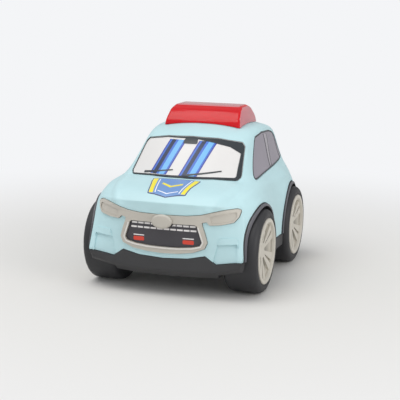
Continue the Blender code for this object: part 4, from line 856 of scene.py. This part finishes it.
film = on_hood((-0.0148, -0.0072), (0.0148, -0.0072), (0.0142, -0.0120), (0.0126, -0.0190),
               (0.0116, -0.0262), (0.0070, -0.0268), (0, -0.0284), (-0.0070, -0.0268),
               (-0.0116, -0.0262), (-0.0126, -0.0190), (-0.0142, -0.0120))
side_bar = [(0.0141, -0.0079), (0.0112, -0.0079), (0.0085, -0.0256), (0.0109, -0.0256),
            (0.0119, -0.0190), (0.0135, -0.0120)]
bars = [on_hood(*[(sign * x, y) for x, y in side_bar]) for sign in (1, -1)]
chevron = on_hood((-0.0062, -0.0160), (0, -0.0200), (0.0062, -0.0160), (0.0062, -0.0140), (0, -0.0180),
                  (-0.0062, -0.0140))
pins = [on_hood(*stroke((sign * 0.0098, -0.0085), (sign * 0.0072, -0.0252), 0.0006)) for sign in (1, -1)]
pins += [on_hood((-0.0062, -0.0240), (0, -0.0262), (0.0062, -0.0240), (0.0062, -0.0234), (0, -0.0256),
                 (-0.0062, -0.0234))]
dark_film = moulded_plastic("dark_blue_film", "#39466E", 0.30, drift=0.02)
blue_film = moulded_plastic("blue_film", "#6F95CC", 0.30, drift=0.03)
yellow_film = moulded_plastic("yellow_film", "#F2E23C", 0.30, drift=0.02)
pale_film = moulded_plastic("white_film", "#EFF1F4", 0.30, drift=0.01)
films = [
    ("sticker_outline", [rounded(film, 0.0010)], 0.00008, dark_film),
    ("sticker_field", [rounded(moved(film, -0.0005), 0.0008)], 0.00012, blue_film),
    ("sticker_bars", bars, 0.00016, yellow_film),
    ("sticker_chevrons", [chevron], 0.00016, yellow_film),
    ("sticker_pinstripes", pins, 0.00016, pale_film),
]
for name, outlines, depth, finish in films:
    printed(name, outlines, *sticker_span, depth, finish)


# The nose trim is one warm grey moulding: both headlamps, the bar between them, the blank badge and
# the grille frame. It snaps into the shell, and each lamp has a face set a little below its lip.

def grille_outline():
    bar, rim = BADGE_HEIGHT, BADGE_HEIGHT - 0.0140
    return mirrored([(0, bar), (0.0190, bar + 0.0002), (0.0204, bar - 0.0006), (0.0234, rim + 0.0044),
                     (0.0222, rim + 0.0022), (0.0170, rim + 0.0009), (0.0090, rim + 0.0002), (0, rim)])


def lamp_face_outline(sign):
    bar = BADGE_HEIGHT + 0.0046
    points = [(0.0276, bar + 0.0008), (0.0350, bar + 0.0024), (0.0412, bar + 0.0032),
              (0.0414, bar + 0.0004), (0.0396, bar - 0.0016), (0.0336, bar - 0.0028), (0.0286, bar - 0.0031)]
    return [(sign * x, z) for x, z in points]


def strip(centre_x, centre_z, width, height):
    low_x, high_x, low_z, high_z = (centre_x - width / 2, centre_x + width / 2,
                                    centre_z - height / 2, centre_z + height / 2)
    return [(low_x, low_z), (high_x, low_z), (high_x, high_z), (low_x, high_z)]


BADGE_PROUD = 0.0036
BADGE_RISE = 0.0013
badge_centre = (0, BADGE_HEIGHT + BADGE_RISE)
nose_span = ("Y", NOSE_Y - 0.0097, FRONT_Y - 0.0083)
trim = inlay("nose_trim", [rounded(trim_outline(), 0.0010)], *nose_span, 0.0010, -0.0018)
work(trim, slab("opening", rounded(grille_outline(), 0.0008), "Y", NOSE_Y - 0.02, FRONT_Y), "DIFFERENCE")
for sign in (1, -1):
    face = inlay("lamp_face", [rounded(lamp_face_outline(sign), 0.0008)], *nose_span, 0.0020, 0.0005)
    work(trim, face, "DIFFERENCE")
shade_along_form(trim)
warm_grey = moulded_plastic("warm_grey_abs", "#BDB8AE", 0.40)
hand_in(trim, warm_grey, "front_trim")

# A raised pale strip inside the grille frame: a painted highlight along the frame's inner edge
rim = inlay("grille_edge", [rounded(moved(grille_outline(), 0.0009), 0.0010)], *nose_span, 0.0014, 0.0010)
work(rim, slab("opening", rounded(grille_outline(), 0.0008), "Y", NOSE_Y - 0.02, FRONT_Y), "DIFFERENCE")
bar_room = slab("bar_room", strip(0, BADGE_HEIGHT + 0.0015, 0.0600, 0.0050), "Y", NOSE_Y - 0.02, FRONT_Y)
work(rim, bar_room, "DIFFERENCE")
shade_along_form(rim)
hand_in(rim, moulded_plastic("painted_highlight_pale_grey", "#D9D6D0", 0.25, drift=0.01))

badge_edge = round_outline(badge_centre, 0.0061, 0.0041, 48)
badge = slab("blank_badge", badge_edge, "Y", NOSE_Y - BADGE_PROUD, NOSE_Y - 0.0004)
soften_edges(badge, 0.0012, 4)
keep_crisp(badge, 50)
hand_in(badge, warm_grey)


# The grille panel is dark ABS behind the frame, printed with two rows of pale slats and a small
# red reflector with a white line over it in each lower corner.

def badge_room():
    """What the badge and its rim keep clear in the grille."""
    edge = round_outline(badge_centre, 0.0066, 0.0046, 48)
    return slab("badge_room", edge, "Y", NOSE_Y - 0.02, NOSE_Y + 0.0005)


fitted("grille_panel", [rounded(moved(grille_outline(), -CLEARANCE), 0.0008)], nose_span, -0.0002, -0.0018,
       moulded_plastic("dark_grey_abs", "#3E3C41", 0.35), "dark", "grille_panel", badge_room())

PRINT = 0.00012
print_depth = (-0.0002 + PRINT, -0.0003)
dashes = []
for row_z, half_row in ((0.0430, 0.0195), (0.0405, 0.0200)):
    count = 10
    pitch = 2 * half_row / count
    dashes += [strip(-half_row + (i + 0.5) * pitch, row_z, pitch - 0.0006, 0.0010) for i in range(count)]
pale_ink = moulded_plastic("pale_ink", "#E6E3E2", 0.35, drift=0.02)
fitted("printed_slats", dashes, nose_span, *print_depth, pale_ink, "screen", room=badge_room())

# A reflector and its line in each lower corner
reflectors, edges = ([strip(sign * 0.0150, z, 0.0066, height) for sign in (1, -1)]
                     for z, height in ((0.0337, 0.0024), (0.0358, 0.0006)))
red_ink = moulded_plastic("red_ink", "#D2402F", 0.30, drift=0.05)
reflectors = [rounded(outline, 0.0008) for outline in reflectors]
fitted("printed_reflectors", reflectors, nose_span, *print_depth, red_ink, "lamp")
fitted("printed_edges", edges, nose_span, *print_depth, pale_ink, "screen")


# Tail lamps are glossy red styrene, pressed into the tail from outside.

lamp_red = moulded_plastic("red_styrene", "#B81E26", 0.15, drift=0.04, grain=0.0)
tail_span = ("Y", TAIL_Y - 0.0128, TAIL_Y + 0.010)
for side, sign in (("left", 1), ("right", -1)):
    fitted(f"tail_lens_{side}", [rounded(tail_lamp_outline(sign), 0.0010)], tail_span, 0.0005, -0.0019,
           lamp_red, "lamp", f"tail_lamp_{side}")


# The light bar is a hollow lens of clear red styrene, seated on the roof.
# Its front slopes back above a short skirt, and its rear is longer and flatter.

BAR_START = FRONT_Y + 0.0385
BAR_END = BAR_START + 0.0395
BAR_HALF_WIDTH = 0.0248
BAR_TOP_HALF_WIDTH = 0.0229
BAR_HEIGHT = ROOF_HEIGHT + 0.0086
SKIRT_HEIGHT = ROOF_HEIGHT + 0.0014
BAR_WALL = 0.0014


def bar_body(name, inset):
    """The bar's outside, or its hollow when drawn in by the wall."""
    foot = ROOF_HEIGHT - 0.014
    levels = [
        (foot, BAR_START, BAR_END, BAR_HALF_WIDTH),
        (SKIRT_HEIGHT - 0.0030, BAR_START, BAR_END, BAR_HALF_WIDTH),
        (SKIRT_HEIGHT, BAR_START + 0.0020, BAR_END - 0.0016, BAR_HALF_WIDTH - 0.0008),
        (BAR_HEIGHT - 0.0022 - inset, BAR_START + 0.0074, BAR_END - 0.0082, BAR_TOP_HALF_WIDTH + 0.0003),
        (BAR_HEIGHT - inset, BAR_START + 0.0125, BAR_END - 0.0125, BAR_TOP_HALF_WIDTH - 0.0020),
    ]
    points = []
    for z, front, rear, half in levels:
        low, high, wide = front + inset, rear - inset, half - inset
        points += [(wide, low, z), (wide, high, z), (-wide, high, z), (-wide, low, z)]
    faces = [(0, 3, 2, 1), (16, 17, 18, 19)]
    for level in range(4):
        start = level * 4
        faces += [(start + i, start + (i + 1) % 4, start + 4 + (i + 1) % 4, start + 4 + i) for i in range(4)]
    mesh = bpy.data.meshes.new(name)
    mesh.from_pydata(points, [], faces)
    piece = bpy.data.objects.new(name, mesh)
    bpy.context.scene.collection.objects.link(piece)
    soften_edges(piece, max(0.0004, 0.0024 - inset), 5, 12)
    return piece


def clear_styrene(name, colours, clarity, gloss):
    """Clear coloured styrene with faint flow marks."""
    made, tree, shader = new_finish(name)
    shader.inputs["IOR"].default_value = 1.5
    shader.inputs["Specular IOR Level"].default_value = gloss
    shader.inputs["Transmission Weight"].default_value = clarity
    place = add_node(tree, "TexCoord")
    flow = add_node(tree, "TexNoise", Scale=60.0, Detail=2.0)
    tint = add_node(tree, "ValToRGB")
    haze = add_node(tree, "MapRange", To_Min=0.06, To_Max=0.14)
    for stop, colour in zip(tint.color_ramp.elements, colours):
        stop.color = linear(colour)
    wire(tree, place, "Object", flow, "Vector")
    wire(tree, flow, "Fac", tint, "Fac")
    wire(tree, tint, "Color", shader, "Base Color")
    wire(tree, flow, "Fac", haze, "Value")
    wire(tree, haze, "Result", shader, "Roughness")
    return made


def inner_piece(name, inset, room=None, reach=BAR_END + 0.01):
    """A piece inside the lens: all that fits at an inset, or the share of it in a room."""
    piece = bar_body(name, BAR_WALL + inset)
    if room:
        work(piece, slab("room", room, "Y", BAR_START - 0.01, reach), "INTERSECT")
    return work(piece, form_at(0.0006), "DIFFERENCE", keep_tool=True)


bar = bar_body("light_bar_lens", 0)
work(bar, car_form("seat", FINE, CLEARANCE), "DIFFERENCE")
work(bar, bar_body("hollow", BAR_WALL), "DIFFERENCE")
keep_crisp(bar, 40)
# The ends and the top are painted a paler pink than the front: a painted highlight of the light they catch
paint(bar, clear_styrene("clear_red_styrene", ("#E4141F", "#EE1E28"), 0.35, 0.15))
bar.data.materials.append(clear_styrene("painted_highlight_red_styrene", ("#E48A93", "#EA969C"), 0.30, 0.5))
for face in bar.data.polygons:
    if abs(face.normal.x) > 0.75 or face.normal.z > 0.93:
        face.material_index = 1
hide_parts("light_bar")
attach(bar, "car_body")

# Inside it: a red insert, two pale ribs down its front and a deeper red skirt
insert = inner_piece("bar_insert", 0.0005)
keep_crisp(insert, 40)
rib_rooms = [strip(sign * 0.0086, ROOF_HEIGHT + 0.0040, 0.0008, 0.0200) for sign in (1, -1)]
ribs = joined([inner_piece("bar_ribs", 0.0001, room, BAR_START + 0.0120) for room in rib_rooms])
skirt = inner_piece("bar_skirt", 0.0002, strip(0, ROOF_HEIGHT - 0.0100, 0.0600, 0.0224))
hand_in(insert, moulded_plastic("red_insert_styrene", "#E02A32", 0.30, drift=0.05))
hand_in(ribs, moulded_plastic("pale_pink_styrene", "#F0A6A8", 0.25, drift=0.03))
hand_in(skirt, moulded_plastic("deep_red_styrene", "#B01E2C", 0.30, drift=0.04))


# Each wheel is a soft black tyre on a warm grey hub, pressed on a steel axle.
# The hub's face is a dish with five pairs of spokes; the tyre's shoulders are round.

TYRE_INNER_X = 0.0328
TYRE_OUTER_X = 0.0537
RIM_RADIUS = 0.0195
RIM_FACE_X = 0.0540
RIM_DEPTH = 0.0022
DISH_DEPTH = 0.0034
BARREL_RADIUS = 0.0173
BOSS_RADIUS = 0.0036
AXLE_END_X = 0.0483
FLOOR_SLOPE = 0.27


def turned(name, profile, steps=96):
    """A closed profile of (x, radius) points spun about the X axis through the origin."""
    bpy.ops.object.select_all(action="DESELECT")
    bpy.ops.mesh.primitive_circle_add(vertices=len(profile), fill_type="NOTHING")
    piece = bpy.context.object
    piece.name = name
    for vert, (x, radius) in zip(piece.data.vertices, profile):
        vert.co = (x, 0, radius)
    bpy.ops.object.mode_set(mode="EDIT")
    bpy.ops.mesh.select_all(action="SELECT")
    bpy.ops.mesh.spin(steps=steps, angle=2 * math.pi, center=(0, 0, 0), axis=(1, 0, 0))
    bpy.ops.mesh.select_all(action="SELECT")
    bpy.ops.mesh.remove_doubles(threshold=0.000002)
    bpy.ops.mesh.select_all(action="SELECT")
    bpy.ops.mesh.normals_make_consistent(inside=False)
    bpy.ops.object.mode_set(mode="OBJECT")
    return piece


def arc(centre, radius, start, end, steps=6):
    """Points on an arc, angles in degrees from the X axis towards the radius."""
    turns = [math.radians(start + (end - start) * i / steps) for i in range(steps + 1)]
    return [(centre[0] + radius * math.cos(a), centre[1] + radius * math.sin(a)) for a in turns]


def make_tyre():
    bore, seat, soft = BARREL_RADIUS + 0.0001, RIM_RADIUS + 0.0001, 0.0036
    ground = AXLE_HEIGHT
    profile = [(TYRE_INNER_X, bore)]
    profile += arc((TYRE_INNER_X + soft, ground - soft), soft, 180, 90)
    profile += arc((TYRE_OUTER_X - soft, ground - soft), soft, 90, 0)
    profile += [(TYRE_OUTER_X - 0.0001, seat + 0.0012), (TYRE_OUTER_X - 0.0005, seat + 0.0008),
                (TYRE_OUTER_X - 0.0005, seat), (RIM_FACE_X - RIM_DEPTH - 0.0001, seat),
                (RIM_FACE_X - RIM_DEPTH - 0.0001, bore)]
    tyre = turned("tyre", profile)
    keep_crisp(tyre, 35)
    return tyre


def make_hub():
    web = RIM_FACE_X - DISH_DEPTH
    back, shelf, bore = TYRE_INNER_X + 0.0010, RIM_FACE_X - RIM_DEPTH, 0.0018
    profile = [(AXLE_END_X, 0), (AXLE_END_X, bore), (back, bore), (back, BARREL_RADIUS),
               (shelf, BARREL_RADIUS), (shelf, RIM_RADIUS)]
    profile += arc((RIM_FACE_X - 0.0008, RIM_RADIUS - 0.0008), 0.0008, 90, 0, 4)
    profile += [(RIM_FACE_X, BARREL_RADIUS + 0.0004)]
    profile += arc((RIM_FACE_X - 0.0006, BARREL_RADIUS + 0.0002), 0.0006, 0, -60, 3)
    profile += [(RIM_FACE_X - 0.0014, BARREL_RADIUS - 0.0008), (web + 0.0006, 0.0070),
                (web, BOSS_RADIUS), (web, 0)]
    hub = turned("hub", profile)
    low = web - 0.0022
    inner, outer = BOSS_RADIUS + 0.0008, BARREL_RADIUS - 0.0012
    # turn, half widths at the inner and outer ends, inner end
    wide, narrow = (0, 0.0008, 0.0046, inner), (36, 0.0003, 0.0012, inner + 0.0015)
    for i in range(5):
        for turn, half_inner, half_outer, start in (wide, narrow):
            corners = [(start, -half_inner), (outer, -half_outer), (outer, half_outer), (start, half_inner)]
            recess = slab("recess", rounded(corners, 0.0008), "X", low, RIM_FACE_X + 0.004)
            for vert in recess.data.vertices:
                if vert.co.x < RIM_FACE_X:
                    vert.co.x += FLOOR_SLOPE * (vert.co.y - start)
            recess.data.transform(Matrix.Rotation(math.radians(i * 72 + turn), 4, "X"))
            work(hub, recess, "DIFFERENCE")
    keep_crisp(hub, 35)
    # Painted shade: how far each point lies down in a recess near the boss, read by the hub's colour
    shade = hub.data.attributes.new("recess_shade", "FLOAT", "POINT")
    for vert, share in zip(hub.data.vertices, shade.data):
        radius = math.hypot(vert.co.y, vert.co.z)
        out = max(0, radius - BOSS_RADIUS) / (BARREL_RADIUS - BOSS_RADIUS)
        face_x = web + (RIM_FACE_X - 0.0012 - web) * out
        in_face = vert.co.x > RIM_FACE_X - 0.0090 and radius < BARREL_RADIUS - 0.0005
        sunk = (face_x - vert.co.x) / 0.0008 if in_face else 0
        share.value = min(1, max(0, sunk - 0.3)) * min(1, max(0, (0.0155 - radius) / 0.0085))
    return hub


rubber = moulded_plastic("black_rubber", "#29292C", 0.55, grain=0.25)
tyre, hub = make_tyre(), make_hub()
paint(tyre, rubber)
hub_grey = moulded_plastic("warm_grey_hub_abs", "#C6C1B6", 0.40)
tree = hub_grey.node_tree
shader = tree.nodes["Principled BSDF"]
# Deep in the recesses near the boss the grey is painted dark olive: painted shade for the shadow that falls
# in the recesses
recess = add_node(tree, "Attribute", attribute_name="recess_shade")
recess_shade_mix = add_node(tree, "Mix", data_type="RGBA")
wire(tree, recess, "Fac", recess_shade_mix, "Factor")
tree.links.new(shader.inputs["Base Color"].links[0].from_socket, recess_shade_mix.inputs[6])
recess_shade_mix.inputs[7].default_value = linear("#3E3B30")
wire(tree, recess_shade_mix, 2, shader, "Base Color")
paint(hub, hub_grey)
for end, axle_y in (("front", FRONT_Y), ("rear", REAR_Y)):
    for side, sign in (("left", 1), ("right", -1)):
        for kind, model, slot in (("tyre", tyre, "rubber"), ("hub", hub, "grey")):
            piece = model.copy()
            piece.data = model.data.copy()
            piece.name = f"{end}_{side}_{kind}"
            bpy.context.scene.collection.objects.link(piece)
            if sign < 0:
                piece.data.transform(Matrix.Rotation(math.pi, 4, "Z"))
            piece.data.transform(Matrix.Translation((0, axle_y, AXLE_HEIGHT)))
            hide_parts(f"{kind}_{end}_{side}")
            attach(piece, f"{end}_wheelset")
bpy.data.objects.remove(tyre)
bpy.data.objects.remove(hub)


# Pieces kept as packed: turned steel axles, pins and screws, nylon gears and the motor's casing.

def turned_steel(name, colour, roughness):
    """Bright steel bar stock with fine turning marks."""
    made = moulded_plastic(name, colour, roughness, drift=0.02, grain=0.05)
    made.node_tree.nodes["Principled BSDF"].inputs["Metallic"].default_value = 1.0
    return made


steel = turned_steel("zinc_plated_steel", "#B9BBBD", 0.28)
finishes = {
    "front_axle_clip": warm_grey, "motor_case": charcoal, "motor_cover": warm_grey,
    "flywheel": turned_steel("dull_steel", "#8E8F92", 0.40),
}
nylon = moulded_plastic("natural_nylon", "#E4E0D2", 0.45)
for name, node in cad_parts.items():
    if name.endswith("_gear"):
        finishes[name] = nylon
    elif name.endswith(("_axle", "_pin", "_arbor")) or "screw" in name:
        finishes[name] = steel
for name, finish in finishes.items():
    paint(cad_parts[name], finish)


for spare in (surface, *kept_forms.values()):
    bpy.data.objects.remove(spare)
